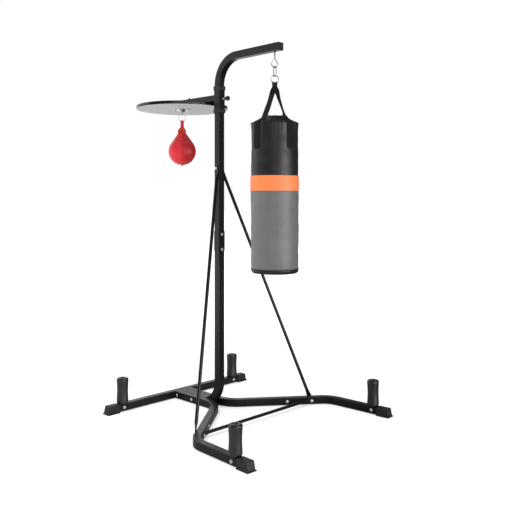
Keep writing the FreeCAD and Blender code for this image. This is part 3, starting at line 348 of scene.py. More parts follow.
chrome, chrome_shader, chrome_place = finish("bright_plate", Metallic=1.0)
smear = noise(chrome_place, 120, 4, 0.6)
smear.mixed((0.52, 0.52, 0.53), (0.66, 0.66, 0.67)).feed(chrome_shader, "Base Color")
(0.08 + 0.10 * smear).feed(chrome_shader, "Roughness")
relief(noise(chrome_place, 500, 3), 0.00003, chrome_shader, 0.5)
zinc, zinc_shader, zinc_place = finish("satin_zinc_plate", Metallic=0.55)
cloud = noise(zinc_place, 200, 4, 0.6)
cloud.mixed((0.74, 0.75, 0.76), (0.86, 0.87, 0.88)).feed(zinc_shader, "Base Color")
(0.30 + 0.14 * cloud).feed(zinc_shader, "Roughness")
relief(cloud, 0.00003, zinc_shader, 0.5)
dress(zinc, "base_bolts", "hub_bolts", "post_bolts", "swivel_ring")
pegs = [f"plate_peg_{place}" for place in foot_places]
dress(chrome, "eyebolt", "eyebolt_nuts", "hanging_link", "hanging_ring",
      "platform_bolts", "pin_barrel", "pull_pin", "swivel_plate", "swivel_screws", "swivel_rotor", *pegs)


def screw_thread(name, start, end, radius, pitch, body):
    """Thread round a straight shank: the radius rises and falls once for each pitch, on a helix."""
    start, end = np.array(start), np.array(end)
    length = np.linalg.norm(end - start)
    along = (end - start) / length
    side = np.cross(along, (0.31, 0.87, 0.38))
    side /= np.linalg.norm(side)
    other = np.cross(along, side)
    rows_per_pitch, columns = 8, 24
    reach = np.linspace(0, length, int(length / pitch * rows_per_pitch) + 1)
    turn = full_turn(columns)
    phase = reach[:, None] / pitch - turn / (2 * np.pi)
    crest = 1 - 2 * np.abs(phase % 1 - 0.5)
    fade = np.clip(np.minimum(reach, length - reach) / pitch, 0, 1)[:, None]
    radii = radius + 0.05 * pitch + 0.38 * pitch * crest * fade
    points = start + reach[:, None, None] * along + radii[:, :, None] * round_section(turn, side, other)
    first, last = (np.broadcast_to(middle, (1, columns, 3)) for middle in (start, end))
    points = np.concatenate([first, points, last])
    run = np.concatenate([[0.0], reach + radius, [length + 2 * radius]])
    thread = grid_piece(name, points, run, round_lengths(radius, columns), False, True)
    return complete(thread, chrome, body)


eye_low, eye_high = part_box("eyebolt")
hook_x, hook_y = (eye_low[0] + eye_high[0]) / 2, (eye_low[1] + eye_high[1]) / 2
m8_pitch = 0.00125
screw_thread("eyebolt_thread", (hook_x, hook_y, 2.1225), (hook_x, hook_y, 2.1545), 0.004, m8_pitch, "stand")
bolt_low, bolt_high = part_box("platform_bolts")
bolts_middle = (bolt_low[1] + bolt_high[1]) / 2
for index, offset in enumerate((0.073, -0.073)):
    tip = (0, bolts_middle + offset, bolt_high[2])
    screw_thread(f"platform_thread_{index}", (*tip[:2], tip[2] - 0.0036), tip, 0.0039, m8_pitch, "carriage")


# ---------------------------------------------------------------- Foam sleeves on the plate pegs
# Thick tubes of black closed-cell foam, pushed over the steel pegs to pad them. They are a little
# waisted, their ends are rounded, and the bore stays open.

foam, foam_shader, foam_place = finish("black_closed_cell_foam", Specular_IOR_Level=0.90)
cells = foam_place.node("TexVoronoi", {"feature": "F1"}, {"Vector": foam_place, "Scale": 900.0})
blotch = noise(foam_place, 60, 4)
blotch.mixed((0.006, 0.006, 0.007), (0.016, 0.016, 0.017)).feed(foam_shader, "Base Color")
(0.32 + 0.08 * blotch).feed(foam_shader, "Roughness")
relief(cells, 0.0004, foam_shader, 0.35)


def turned(centre, radius, turn, height):
    """Points round an upright axis, from their distances to it, angles and heights."""
    radius, turn, height = np.broadcast_arrays(radius, turn, height)
    return np.stack([centre[0] + radius * np.cos(turn), centre[1] + radius * np.sin(turn), height], axis=-1)


def foam_tube(name, node, seed):
    """Foam tube in its node's box: a closed profile of two walls and rounded ends, turned round the peg.

    The wall's radius is the profile's, less a waist that is deepest at mid height, plus low waves
    of a few tenths of a millimetre where the foam was handled.
    """
    low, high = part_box(node)
    middle = ((low[0] + high[0]) / 2, (low[1] + high[1]) / 2)
    bottom, top = low[2], high[2]
    outer, bore, edge, waist = 0.0360, 0.0128, 0.0100, 0.0027
    quarter = np.linspace(0, np.pi / 2, 7)
    wall = np.linspace(bottom + edge, top - edge, 22)[1:-1]
    edge_wide, edge_high = edge * np.sin(quarter), edge * np.cos(quarter)
    upper = np.stack([outer - edge + edge_high, top - edge + edge_wide], axis=1)
    lower = np.stack([outer - edge + edge_wide, bottom + edge - edge_high], axis=1)
    outside = np.stack([np.full(len(wall), outer), wall], axis=1)
    lip = np.array([[bore + 0.004, top], [bore + 0.0012, top - 0.0006], [bore, top - 0.002]])
    inside = np.stack([np.full(8, bore), np.linspace(top - 0.02, bottom, 8)], axis=1)
    profile = np.vstack([lower, outside, upper, lip, inside])
    share = (profile[:, 1] - bottom) / (top - bottom)
    on_wall = profile[:, 0] > (outer + bore) / 2
    profile[:, 0] -= on_wall * waist * np.sin(np.pi * share) ** 2
    turn = full_turn(64)
    dents = 0.0003 * np.sin(3 * turn + seed)[None, :] * np.sin(2.1 * np.pi * share + seed)[:, None]
    points = turned(middle, profile[:, :1] + on_wall[:, None] * dents, turn, profile[:, 1:])
    run = distances(np.vstack([profile, profile[:1]]))
    tube = grid_piece(name, points, run, round_lengths(outer, 64), True, True)
    complete(tube, foam, "stand")
    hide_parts(node)
    return tube


for seed, place in enumerate(foot_places):
    foam_tube(f"foam_{place}", f"foam_sleeve_{place}", 1.7 * seed)


# ---------------------------------------------------------------- Heavy bag: skins
# Heavy coated vinyl sewn into a tube: black above, a bright orange band let in, grey below, with a
# black top and bottom. The textile filling makes it slightly lumpy, and the top is gathered.

def vinyl(name, dark, light, shine):
    """Coated vinyl: a pebbled grain of small cells, faint cloudiness and finger-wide patches of shine."""
    material, shader, place = finish(name, Specular_IOR_Level=0.45)
    pebbles = {"Vector": place, "Scale": 620.0, "Smoothness": 0.6}
    grain = place.node("TexVoronoi", {"feature": "SMOOTH_F1"}, pebbles)
    cloud = noise(place, 14, 4, 0.6)
    cloud.mixed(dark, light).feed(shader, "Base Color")
    (shine + 0.14 * noise(place, 30, 3)).feed(shader, "Roughness")
    relief(grain + 0.5 * noise(place, 160, 3), 0.00045, shader, 0.35)
    return material


bag_black = vinyl("bag_black_vinyl", (0.012, 0.012, 0.013), (0.018, 0.018, 0.019), 0.30)
bag_grey = vinyl("bag_grey_vinyl", (0.140, 0.140, 0.142), (0.178, 0.178, 0.180), 0.34)
bag_orange = vinyl("bag_orange_vinyl", (1.0, 0.24, 0.070), (1.0, 0.29, 0.095), 0.36)

bag_top, rim_height, band_top, band_bottom, foot_seam, bag_bottom = 1.781, 1.739, 1.436, 1.349, 0.902, 0.878
rim_radius, above_band, band_radius, below_band, foot_radius = 0.1335, 0.1360, 0.1400, 0.1380, 0.1365
strap_angles = np.radians(np.array([-95.5, -5.5, 84.5, 174.5]))
strap_half = 0.0250


def strap_press(turn, reach):
    """1 under a strap and 0 away from it, for angles at a distance from the axis."""
    quarter, soft_half = np.pi / 2, strap_half + 0.0060
    apart = np.abs((turn - strap_angles[0] + quarter / 2) % quarter - quarter / 2)
    return np.exp(-(reach * apart / soft_half) ** 4)


def swell(turn, height):
    """How far the filled skin stands out from its plain form, in metres.

    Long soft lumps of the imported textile, low hoops where it has settled, and gathers under the
    rim that only stand outward and fade out within a hand's width. The straps' tails press most
    of it flat.
    """
    tail_end, tail_fade = 1.560, 0.030
    lumps = 0.0010 * np.sin(3 * turn + 9 * height) * np.sin(13 * height + 1.1)
    lumps += 0.0007 * np.sin(5 * turn - 17 * height + 0.6) + 0.0006 * np.sin(2 * turn + 31 * height)
    settled = 0.0006 * np.sin(2 * np.pi * height / 0.085 + 0.8 * np.sin(2 * turn))
    depth = np.clip(rim_height - height, 0, None)
    gathers = 0.0012 * np.exp(-depth / 0.030) * (0.5 + np.cos(34 * turn + 2.2 * np.sin(3 * turn)))
    gathers += 0.0011 * np.exp(-depth / 0.060) * (0.8 + np.cos(13 * turn + 1.5 * np.sin(2 * turn)))
    pressed = strap_press(turn, rim_radius) * np.clip((height - tail_end) / tail_fade, 0, 1)
    return (lumps + settled + gathers) * (1 - 0.8 * pressed)


def bag_wall(name, heights, radii, node, material, slot, columns=256):
    """Skin between two heights: circles of the given radii, each point moved out by the swell."""
    turn = full_turn(columns)
    radius = radii[:, None] + swell(turn, heights[:, None])
    points = turned((hook_x, hook_y), radius, turn, heights[:, None])
    run = distances(np.stack([radii, heights], axis=1))
    wall = grid_piece(name, points, run, round_lengths(radii.max(), columns), False, True)
    complete(wall, material, "bag")
    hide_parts(node)
    return wall


def tucked(low, low_radius, high, high_radius):
    """Heights and radii of a skin whose two edges draw in by a tuck and turn inward, as sewn edges do."""
    step, tuck, tuck_height, turned_in = 0.006, 0.0012, 0.0025, 0.006
    count = int((high - low) / step)
    heights = np.linspace(low, high, count)
    radii = np.interp(heights, [low, high], [low_radius, high_radius])
    edge = np.minimum(heights - low, high - heights)
    radii = radii - tuck * np.exp(-(edge / tuck_height) ** 2)
    heights = np.concatenate([[low], heights, [high]])
    radii = np.concatenate([[low_radius - turned_in], radii, [high_radius - turned_in]])
    return heights, radii


band_lap = 0.004
upper_profile = tucked(band_top - band_lap, above_band, rim_height, rim_radius)
upper_skin = bag_wall("bag_upper_skin", *upper_profile, "bag_upper_shell", bag_black, "bag_black")
lower_profile = tucked(foot_seam, foot_radius, band_bottom + band_lap, below_band)
lower_skin = bag_wall("bag_lower_skin", *lower_profile, "bag_lower_shell", bag_grey, "bag_grey")

band_inner, band_edge = 0.1330, 0.0016
band_quarter = np.linspace(0, np.pi / 2, 6)
band_inset = band_edge * (1 - np.sin(band_quarter))
band_rise = band_edge * (1 - np.cos(band_quarter))
band_face = np.linspace(band_bottom + 0.006, band_top - 0.006, 14)
band_heights = np.concatenate([[band_bottom], band_bottom + band_rise, band_face,
                               (band_top - band_rise)[::-1], [band_top]])
band_radii = np.concatenate([[band_inner], band_radius - band_inset, np.full(len(band_face), band_radius),
                             (band_radius - band_inset)[::-1], [band_inner]])
bag_wall("bag_orange_band", band_heights, band_radii, "bag_band", bag_orange, "bag_orange")


def bag_top_surface():
    """Gathered top: a low cone from the rim to a flat crown, pulled up at the four straps.

    Height falls with distance from the axis. Between straps the cloth sags, folds run outward from
    the crown, and the crown itself is crumpled, but nothing sinks to the filling. The seam's
    allowance stands out at the rim as a narrow ruffle, and the last row turns down inside the wall.
    """
    rows, columns = 48, 360
    share = np.linspace(0, 1, rows)
    turn = full_turn(columns)
    reach = rim_radius * share
    rounded = 1 / (1 + np.exp((reach - 0.060) / 0.0075))
    cone = np.interp(reach, [0.040, rim_radius], [bag_top + 0.004, rim_height])
    plain = rounded * np.minimum(cone, bag_top) + (1 - rounded) * cone
    nearest = np.cos(4 * (turn - strap_angles[0]))
    middle = np.sin(np.pi * share) ** 1.5
    loose = 1 - 0.85 * strap_press(turn, reach[:, None])
    sag = -0.0020 * middle[:, None] * (1 - nearest) / 2
    zigzag = np.sin(11 * turn + 1.6 * np.sin(3 * turn))
    folds = 0.0022 * middle[:, None] * np.sin(21 * turn + 3.0 * np.sin(2 * turn) + 5 * share[:, None])
    near_rim = (share ** 6 * (1 - share ** 30))[:, None]
    folds += 0.0018 * near_rim * np.sin(30 * turn + 1.2 * zigzag + 4 * share[:, None])
    crumpled = 0.0012 * (rounded * np.sin(90 * reach))[:, None]
    crumple = crumpled * np.sin(7 * turn + 40 * reach[:, None])
    firm = np.interp(reach, [0.052, rim_radius], [bag_top, rim_height]) - 0.0018
    height = np.maximum(plain[:, None] + sag + folds * loose + crumple, firm[:, None])
    edge_swell = swell(turn, np.array(rim_height)) * share[:, None] ** 6
    radius = reach[:, None] + edge_swell
    ruffle = (0.6 + 0.4 * np.sin(13 * turn + 2 * np.sin(3 * turn))) * loose[-1]
    flange_out = np.array([0.0034, 0.0046, 0.0042, 0.0012, 0])[:, None]
    flange_down = np.array([0.0004, 0.0014, 0.0030, 0.0036, 0.0060])[:, None]
    turned_in = np.array([0, 0, 0, 0, 0.0060])[:, None]
    flutter = 0.0022 * np.sin(9 * turn + 1.0) * loose[-1] * np.array([1, 1, 1, 0.3, 0])[:, None]
    radius = np.vstack([radius, radius[-1] + flange_out * ruffle - turned_in])
    height = np.vstack([height, height[-1] - flange_down + flutter])
    along = distances(np.stack([radius[:, 0], height[:, 0]], axis=1))
    across = round_lengths(rim_radius, columns)
    return turned((hook_x, hook_y), radius, turn, height), along, across


top_panel = grid_piece("bag_gathered_top", *bag_top_surface(), False, True)
complete(top_panel, bag_black, "bag")
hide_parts("bag_top_panel")


def bag_bottom_surface():
    """Flat bottom with a round edge, puckered where it was eased into the seam, and turned in above."""
    edge, pucker_radius, pucker_width, turned_in = 0.018, 0.128, 0.010, 0.006
    columns = 192
    quarter = np.linspace(0, np.pi / 2, 9)[1:]
    flat = np.linspace(0, foot_radius - edge, 16)
    radii = np.concatenate([flat, foot_radius - edge + edge * np.sin(quarter),
                            [foot_radius, foot_radius - turned_in]])
    heights = np.concatenate([np.full(len(flat), bag_bottom), bag_bottom + edge - edge * np.cos(quarter),
                              [foot_seam + 0.002, foot_seam + 0.002]])
    turn = full_turn(columns)
    eased = np.exp(-((radii[:, None] - pucker_radius) / pucker_width) ** 2)
    pucker = 0.0009 * eased * np.cos(46 * turn + 2 * np.sin(3 * turn))
    points = turned((hook_x, hook_y), radii[:, None], turn, heights[:, None] + pucker)
    along = distances(np.stack([radii, heights], axis=1))
    return points, along, round_lengths(foot_radius, columns)


bottom_panel = grid_piece("bag_bottom_cap", *bag_bottom_surface(), False, True)
complete(bottom_panel, bag_black, "bag")
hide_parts("bag_bottom_panel")

filling, filling_shader, filling_place = finish("shredded_textile_filling", Roughness=0.95)
rags = filling_place.node("TexVoronoi", {"feature": "F1"}, {"Vector": filling_place, "Scale": 55.0},
                          output="Color")
shade = rags.node("SeparateColor", {}, {0: rags})
shade.mixed((0.16, 0.17, 0.20), (0.52, 0.50, 0.47)).feed(filling_shader, "Base Color")
relief(noise(filling_place, 300, 5, 0.7), 0.002, filling_shader, 0.6)
dress(filling, "bag_filling")


# ---------------------------------------------------------------- Heavy bag: piping and stitching
# The bottom is sewn in with a black piping cord in the seam. Above it and along both edges of the
# band the cloth is topstitched with bonded thread, one stitch every four millimetres.

def foot_piping():
    """Cord laid round the bag in its foot seam, following the swell of the skin."""
    radius, size, columns, sides = foot_radius + 0.0002, 0.0024, 256, 10
    turn, around = full_turn(columns), full_turn(sides)
    reach = radius + swell(turn, np.array(foot_seam))[:, None] + size * np.cos(around)
    points = turned((hook_x, hook_y), reach, turn[:, None], foot_seam + size * np.sin(around))
    return points, round_lengths(radius, columns), round_lengths(size, sides)


piping = grid_piece("bag_foot_piping", *foot_piping(), True, True)
complete(piping, bag_black, "bag")


def thread_finish(name, color):
    """Bonded thread: twisted strands that show as slanting ribs along each stitch."""
    material, shader, place = finish(name, Roughness=0.55, Specular_IOR_Level=0.4)
    strands = place.node("TexWave", {"bands_direction": "DIAGONAL"},
                         {"Vector": place, "Scale": 500.0, "Distortion": 1.0})
    strands.mixed(tuple(0.7 * c for c in color), color).feed(shader, "Base Color")
    relief(strands, 0.0001, shader, 0.6)
    return material


def stitch_row(name, centres, along, outward, length, thickness, material, body):
    """Row of stitches, each a low capsule: a six-sided section that swells and closes along its run."""
    centres, along, outward = (np.asarray(value, dtype=float) for value in (centres, along, outward))
    side = np.cross(along, outward)
    share = np.array([-1.0, -0.82, -0.4, 0.4, 0.82, 1.0])
    girth = np.array([0.0, 0.62, 1.0, 1.0, 0.62, 0.0])
    rows, sides, count = len(share), 6, len(centres)
    ring = round_section(full_turn(sides), side, outward)[:, None]
    centres, along, outward = (value[:, None, None, :] for value in (centres, along, outward))
    share, girth = share[:, None, None], girth[:, None, None]
    dip = -0.25 * thickness * share ** 2 * outward
    points = centres + share * length / 2 * along + girth * thickness / 2 * ring + dip
    i, j = np.meshgrid(np.arange(rows - 1), np.arange(sides), indexing="ij")
    i, j = i.ravel(), j.ravel()
    beside = (j + 1) % sides
    corners = i * sides + j, i * sides + beside, (i + 1) * sides + beside, (i + 1) * sides + j
    one = np.stack(corners, axis=1)
    faces = (one[None] + rows * sides * np.arange(count)[:, None, None]).reshape(-1, 4)
    mesh = bpy.data.meshes.new(name)
    mesh.from_pydata(points.reshape(-1, 3).tolist(), [], faces.tolist())
    merged = bmesh.new()
    merged.from_mesh(mesh)
    bmesh.ops.remove_doubles(merged, verts=merged.verts, dist=1e-7)
    bmesh.ops.recalc_face_normals(merged, faces=merged.faces)
    merged.to_mesh(mesh)
    merged.free()
    mesh.polygons.foreach_set("use_smooth", np.ones(len(mesh.polygons), dtype=bool))
    row = bpy.data.objects.new(name, mesh)
    scene.collection.objects.link(row)
    return complete(row, material, body)


orange_thread = thread_finish("orange_thread", (0.80, 0.17, 0.06))
black_thread = thread_finish("black_thread", (0.024, 0.024, 0.026))
stitch_pitch = 0.0042


def outward_and_onward(turn):
    """Level directions at angles round an upright axis: away from it, and onward round it."""
    level = np.zeros(len(turn))
    return (np.stack([np.cos(turn), np.sin(turn), level], axis=1),
            np.stack([-np.sin(turn), np.cos(turn), level], axis=1))


def hoop_stitches(name, radius, height, material):
    """Topstitching round the bag, one stitch after the other on a circle that follows the swell."""
    count = int(2 * np.pi * radius / stitch_pitch)
    turn = full_turn(count)
    reach = radius + swell(turn, np.full(count, height))
    outward, along = outward_and_onward(turn)
    centres = np.array([hook_x, hook_y, height]) + reach[:, None] * outward
    return stitch_row(name, centres, along, outward, 0.0032, 0.0008, material, "bag")


for index, height in enumerate((band_top - 0.005, band_bottom + 0.005)):
    hoop_stitches(f"band_stitches_{index}", band_radius, height, orange_thread)
hoop_stitches("foot_stitches", foot_radius + 0.0001, foot_seam + 0.008, black_thread)


# ---------------------------------------------------------------- Heavy bag: webbing straps and loop
# Two-inch black polyester webbing, woven in a herringbone with bound edges. Four straps spread from
# a loop on the ring, run over the rim and down the side, and end in tails that are sewn down.

webbing, webbing_shader, webbing_place = finish("black_webbing", Specular_IOR_Level=0.25)
weave_uv = webbing_place.node("UVMap", {"uv_map": "UVMap"})
weave, weft = (weave_uv.node("SeparateXYZ", {}, {0: weave_uv}, output=k) for k in (0, 1))
zigzag = (weft * 160.0).math("PINGPONG", 1.0)
rib = ((weave * 620.0 + zigzag * 1.6) * math.pi).math("SINE")
rows = (weft * 1300.0 * math.pi).math("SINE")
cloth_height = 0.5 + 0.3 * rib + 0.2 * rows
cloth_height.mixed((0.004, 0.004, 0.0045), (0.016, 0.016, 0.017)).feed(webbing_shader, "Base Color")
webbing_shader.inputs["Roughness"].default_value = 0.78
relief(cloth_height, 0.0005, webbing_shader, 0.8)

strap_thickness = 0.0026
knot_end = 1.94875
tail_top, tail_bottom = 1.7300, 1.5860
tail_top_radius, tail_bottom_radius = 0.1363, 0.1375


def strap_section():
    """Webbing's section, 1 wide and 1 thick each way from the middle: flat faces and round bound edges."""
    edge = np.linspace(-np.pi / 2, np.pi / 2, 5)
    flat = np.linspace(-0.94, 0.94, 15)
    right = np.stack([0.95 + 0.05 * np.cos(edge), np.sin(edge)], axis=1)
    top = np.stack([flat[::-1], np.ones(15)], axis=1)
    left = np.stack([-0.95 - 0.05 * np.cos(edge), -np.sin(edge)], axis=1)
    bottom = np.stack([flat, -np.ones(15)], axis=1)
    return np.vstack([right, top, left, bottom])


def strap_path(landing):
    """Strap's middle line, as distance from the axis and height: from the loop over the rim and down.

    Listed corners are joined by straight runs and rounded by a moving average. The landing
    is the distance from the axis at which the strap comes to lie on the top panel.
    """
    on_panel = bag_top + 0.0069 - 0.492 * (landing - 0.040)
    spread = landing / 0.0925
    corners = np.array([[0.0075, knot_end - 0.0008], [0.0225 * spread, 1.9080],
                        [0.0440 * spread, 1.8600], [0.0620 * spread, 1.8230],
                        [landing - 0.0070, 1.7800], [landing, on_panel], [0.1300, 1.7438],
                        [0.1358, 1.7397], [tail_top_radius, tail_top], [0.1367, 1.6800],
                        [tail_bottom_radius, tail_bottom]])
    run = distances(corners)
    fine = np.linspace(0, run[-1], 190)
    line = np.stack([np.interp(fine, run, corners[:, k]) for k in range(2)], axis=1)
    kernel = np.hanning(9) / np.hanning(9).sum()
    padded_line = np.vstack([2 * line[0] - line[4:0:-1], line, 2 * line[-1] - line[-2:-6:-1]])
    return np.stack([np.convolve(padded_line[:, k], kernel, mode="valid") for k in range(2)], axis=1)


def closed_ends(points):
    """Grid with a row added at each end, drawn together to the middle of its neighbour."""
    first, last = (points[k:k + 1].mean(axis=1, keepdims=True).repeat(points.shape[1], axis=1)
                   for k in (0, len(points) - 1))
    return np.concatenate([first, points, last])


def webbing_strap(name, node, angle, landing, twists):
    """Strap's section carried along its path in a radial plane, and bent round the bag where it lies.

    The width opens from the gathered end to the full webbing and closes round at the tail. The
    twists, in degrees, turn the section about the path on the free run and die out on the bag.
    """
    line = strap_path(landing)
    run = distances(line)
    section = strap_section()
    ahead = np.gradient(line, axis=0)
    ahead /= np.linalg.norm(ahead, axis=1)[:, None]
    outward = np.stack([-ahead[:, 1], ahead[:, 0]], axis=1)
    half_width = np.interp(run, [0, 0.012, 0.032, 0.050], [0.0100, 0.0185, 0.0240, strap_half])
    tail_round = 0.014
    to_end = np.clip((run - run[-1] + tail_round) / tail_round, 0, 1)
    half_width *= np.sqrt(1 - 0.80 * to_end ** 2)
    swirl = np.radians(np.interp(run, [0, 0.043, 0.095, 0.135, 0.170, 0.204], [*twists, 0.0]))
    kernel = np.hanning(15)[1:-1] / np.hanning(15).sum()
    swirl = np.convolve(np.pad(swirl, 6, mode="edge"), kernel, mode="valid")
    across = section[None, :, 0] * half_width[:, None]
    trough = 0.0050 * np.clip(1 - run / 0.05, 0, 1)[:, None] * (section[None, :, 0] ** 2 - 0.4)
    free = np.clip((0.2 - run) / 0.03, 0, 1)
    wave = 0.0007 * (np.sin(run * 60 + 3 * angle) * free)[:, None] * section[None, :, 0]
    lift = section[None, :, 1] * strap_thickness / 2 + wave + trough
    side = across * np.cos(swirl)[:, None] - lift * np.sin(swirl)[:, None]
    out = across * np.sin(swirl)[:, None] + lift * np.cos(swirl)[:, None]
    radial = line[:, :1] + outward[:, :1] * out
    level = line[:, 1:] + outward[:, 1:] * out
    hug = np.clip((run - 0.186) / 0.030, 0, 1)[:, None]
    bend = hug * side / np.maximum(line[:, :1], 0.03)
    x = radial * np.cos(bend)
    y = radial * np.sin(bend) + (1 - hug) * side
    points = np.stack([hook_x + x * np.cos(angle) - y * np.sin(angle),
                       hook_y + x * np.sin(angle) + y * np.cos(angle), level], axis=2)
    girth = distances(np.vstack([section, section[:1]]) * [strap_half, strap_thickness / 2])
    along = np.concatenate([[-0.005], run, [run[-1] + 0.005]])
    strap = grid_piece(name, closed_ends(points), along, girth, False, True)
    complete(strap, webbing, "bag")
    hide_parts(node)
    return strap


strap_fits = (("front", 0.0925, (0, -14, -29, -32, -36)), ("right", 0.0905, (8, 16, 27, 28, 28)),
              ("rear", 0.0860, (-8, -20, -32, -36, -34)), ("left", 0.0810, (0, 2, 3, 2, 0)))
for angle, (name, landing, twists) in zip(strap_angles, strap_fits):
    webbing_strap(f"bag_webbing_{name}", f"bag_strap_{name}", angle, landing, twists)


upright = np.array([0, 0, 1.0])


def tail_stitches(name, angle, low, high):
    """Box of stitches with a cross in it, sewn through a strap's tail into the skin."""
    half = 0.0195
    corners = np.array([[-half, high], [half, high], [half, low], [-half, low], [-half, high], [half, low]])
    extra = np.array([[half, high], [-half, low]])
    centres, along = [], []
    for chain in (corners, extra):
        for start, end in zip(chain[:-1], chain[1:]):
            length = np.linalg.norm(end - start)
            places = np.linspace(0, 1, int(length / stitch_pitch) + 1)[:-1] + 0.5 * stitch_pitch / length
            centres.append(start + places[:, None] * (end - start))
            along.append(np.broadcast_to((end - start) / length, (len(places), 2)))
    flat, run = np.vstack(centres), np.vstack(along)
    webbing_radius = np.interp(flat[:, 1:], [tail_bottom, tail_top], [tail_bottom_radius, tail_top_radius])
    radius = webbing_radius + strap_thickness / 2
    outward, side = outward_and_onward(angle + flat[:, 0] / radius[:, 0])
    places = np.array([hook_x, hook_y, 0]) + radius * outward + flat[:, 1:] * upright
    along = run[:, :1] * side + run[:, 1:] * upright
    return stitch_row(name, places, along, outward, 0.0033, 0.0009, black_thread, "bag")


for index, angle in enumerate(strap_angles):
    tail_stitches(f"tail_stitches_upper_{index}", angle, 1.672, 1.716)
    tail_stitches(f"tail_stitches_lower_{index}", angle, 1.594, 1.638)


def folded_loop(name, ring_node, width, thickness, tunnel, end, material, body, node):
    """Strap folded over a ring's lowest arc: up one side, round the wire, and down the other.

    Across its width the fold rises with the ring's arc, and that rise dies out down the two legs,
    which close on each other below the wire. A ring is known by its wire's radius and the angle of
    its plane. What comes back is the direction across the strap and the one it faces.
    """
    low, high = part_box(ring_node)
    centre = [(a + b) / 2 for a, b in zip(low, high)]
    wire, plane = {"hanging_ring": (0.00275, -40.0), "swivel_ring": (0.0025, -45.0)}[ring_node]
    ring_radius = (high[2] - low[2]) / 2 - wire
    lowest = centre[2] - ring_radius
    first = np.array([math.cos(math.radians(plane)), math.sin(math.radians(plane)), 0])
    normal = np.array([-first[1], first[0], 0])
    bend = wire + tunnel + thickness / 2
    arc = np.linspace(0, np.pi, 15)
    drop = np.linspace(0, 1, 22)[1:]
    leg = bend + (thickness / 2 + 0.0002 - bend) * np.clip(drop / 0.45, 0, 1) ** 0.8
    leg_level = lowest - drop * (lowest - end)
    depth = np.concatenate([leg[::-1], bend * np.cos(arc), -leg])
    level = np.concatenate([leg_level[::-1], lowest + bend * np.sin(arc), leg_level])
    line = np.stack([depth, level], axis=1)
    ahead = np.gradient(line, axis=0)
    ahead /= np.linalg.norm(ahead, axis=1)[:, None]
    outward = np.stack([ahead[:, 1], -ahead[:, 0]], axis=1)
    section = strap_section()
    across = section[None, :, 0] * width / 2
    out = section[None, :, 1] * thickness / 2
    fade = np.clip((level - lowest + 0.020) / 0.020, 0, 1)[:, None]
    aside = np.minimum(np.abs(across), 0.9 * ring_radius)
    rise = fade * (ring_radius - np.sqrt(ring_radius ** 2 - aside ** 2))
    points = (np.array([centre[0], centre[1], 0]) + across[:, :, None] * first
              + (line[:, :1] + outward[:, :1] * out)[:, :, None] * normal
              + (line[:, 1:] + outward[:, 1:] * out + rise)[:, :, None] * upright)
    run = distances(line)
    girth = distances(np.vstack([section, section[:1]]) * [width / 2, thickness / 2])
    along = np.concatenate([[-0.003], run, [run[-1] + 0.003]])
    loop = grid_piece(name, closed_ends(points), along, girth, False, True)
    complete(loop, material, body)
    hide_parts(node)
    return first, normal


loop_side, loop_front = folded_loop("bag_ring_loop", "hanging_ring", 0.030, strap_thickness, 0.0005,
                                    knot_end, webbing, "bag", "strap_loop")
tacks = np.array([(place, row_height) for row_height in np.linspace(knot_end + 0.003, knot_end + 0.010, 5)
                  for place in np.linspace(-0.012, 0.012, 7)])
for index, face in enumerate((1, -1)):
    tack_places = (np.array([hook_x, hook_y, 0]) + tacks[:, :1] * loop_side
                   + tacks[:, 1:] * upright + face * (strap_thickness + 0.0002) * loop_front)
    along, outward = (np.broadcast_to(way, (len(tacks), 3)) for way in (loop_side, face * loop_front))
    stitch_row(f"loop_tacks_{index}", tack_places, along, outward, 0.0032, 0.0009,
               black_thread, "bag")


# ---------------------------------------------------------------- Rebound board
# Round board of thick particleboard with a pale grey laminate on both faces, and a glossy black
# plastic band pressed round its edge. The ball strikes its underside.

laminate, laminate_shader, laminate_place = finish("pale_laminate", Specular_IOR_Level=0.22)
fleck = noise(laminate_place, 320, 4, 0.7)
cloudy = noise(laminate_place, 6, 3)
paleness = 0.6 * cloudy + 0.4 * fleck
paleness.mixed((0.575, 0.593, 0.593), (0.625, 0.643, 0.643)).feed(laminate_shader, "Base Color")
(0.38 + 0.12 * fleck).feed(laminate_shader, "Roughness")
relief(fleck, 0.00006, laminate_shader, 0.5)
dress(laminate, "platform_board")

gloss, gloss_shader, gloss_place = finish("glossy_edge_band", Specular_IOR_Level=0.6)
haze = noise(gloss_place, 22, 3)
haze.mixed((0.006, 0.006, 0.007), (0.012, 0.012, 0.013)).feed(gloss_shader, "Base Color")
(0.12 + 0.06 * haze).feed(gloss_shader, "Roughness")
relief(noise(gloss_place, 60, 2), 0.00012, gloss_shader, 0.3)

board_low, board_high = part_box("board_rim")
board_y = (board_low[1] + board_high[1]) / 2


def edge_band():
    """Edge band's section round the board: a flat outer face with rounded lips, closed behind."""
    outer = (board_high[0] - board_low[0]) / 2
    low, high = board_low[2], board_high[2]
    quarter = np.linspace(0, np.pi / 2, 6)
    lip, wall, columns = 0.0026, 0.0031, 384
    bottom = np.stack([outer - lip + lip * np.sin(quarter), low + lip - lip * np.cos(quarter)], axis=1)
    face = np.stack([np.full(5, outer), np.linspace(low + lip, high - lip, 7)[1:-1]], axis=1)
    top = np.stack([outer - lip + lip * np.cos(quarter), high - lip + lip * np.sin(quarter)], axis=1)
    back = np.array([[outer - wall, high], [outer - wall, low]])
    profile = np.vstack([bottom, face, top, back])
    points = turned((0, board_y), profile[:, 0], full_turn(columns)[:, None], profile[:, 1])
    along = round_lengths(outer, columns)
    return points, along, distances(np.vstack([profile, profile[:1]]))


band_piece = grid_piece("board_edge_band", *edge_band(), True, True)
complete(band_piece, gloss, "carriage")
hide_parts("board_rim")


# ---------------------------------------------------------------- Speed ball
# Pear-shaped ball of polished red leather, four panels sewn inside out and blown up by a rubber
# bladder. A leather strap folded over the ring carries it, and a round flap covers the lacing.

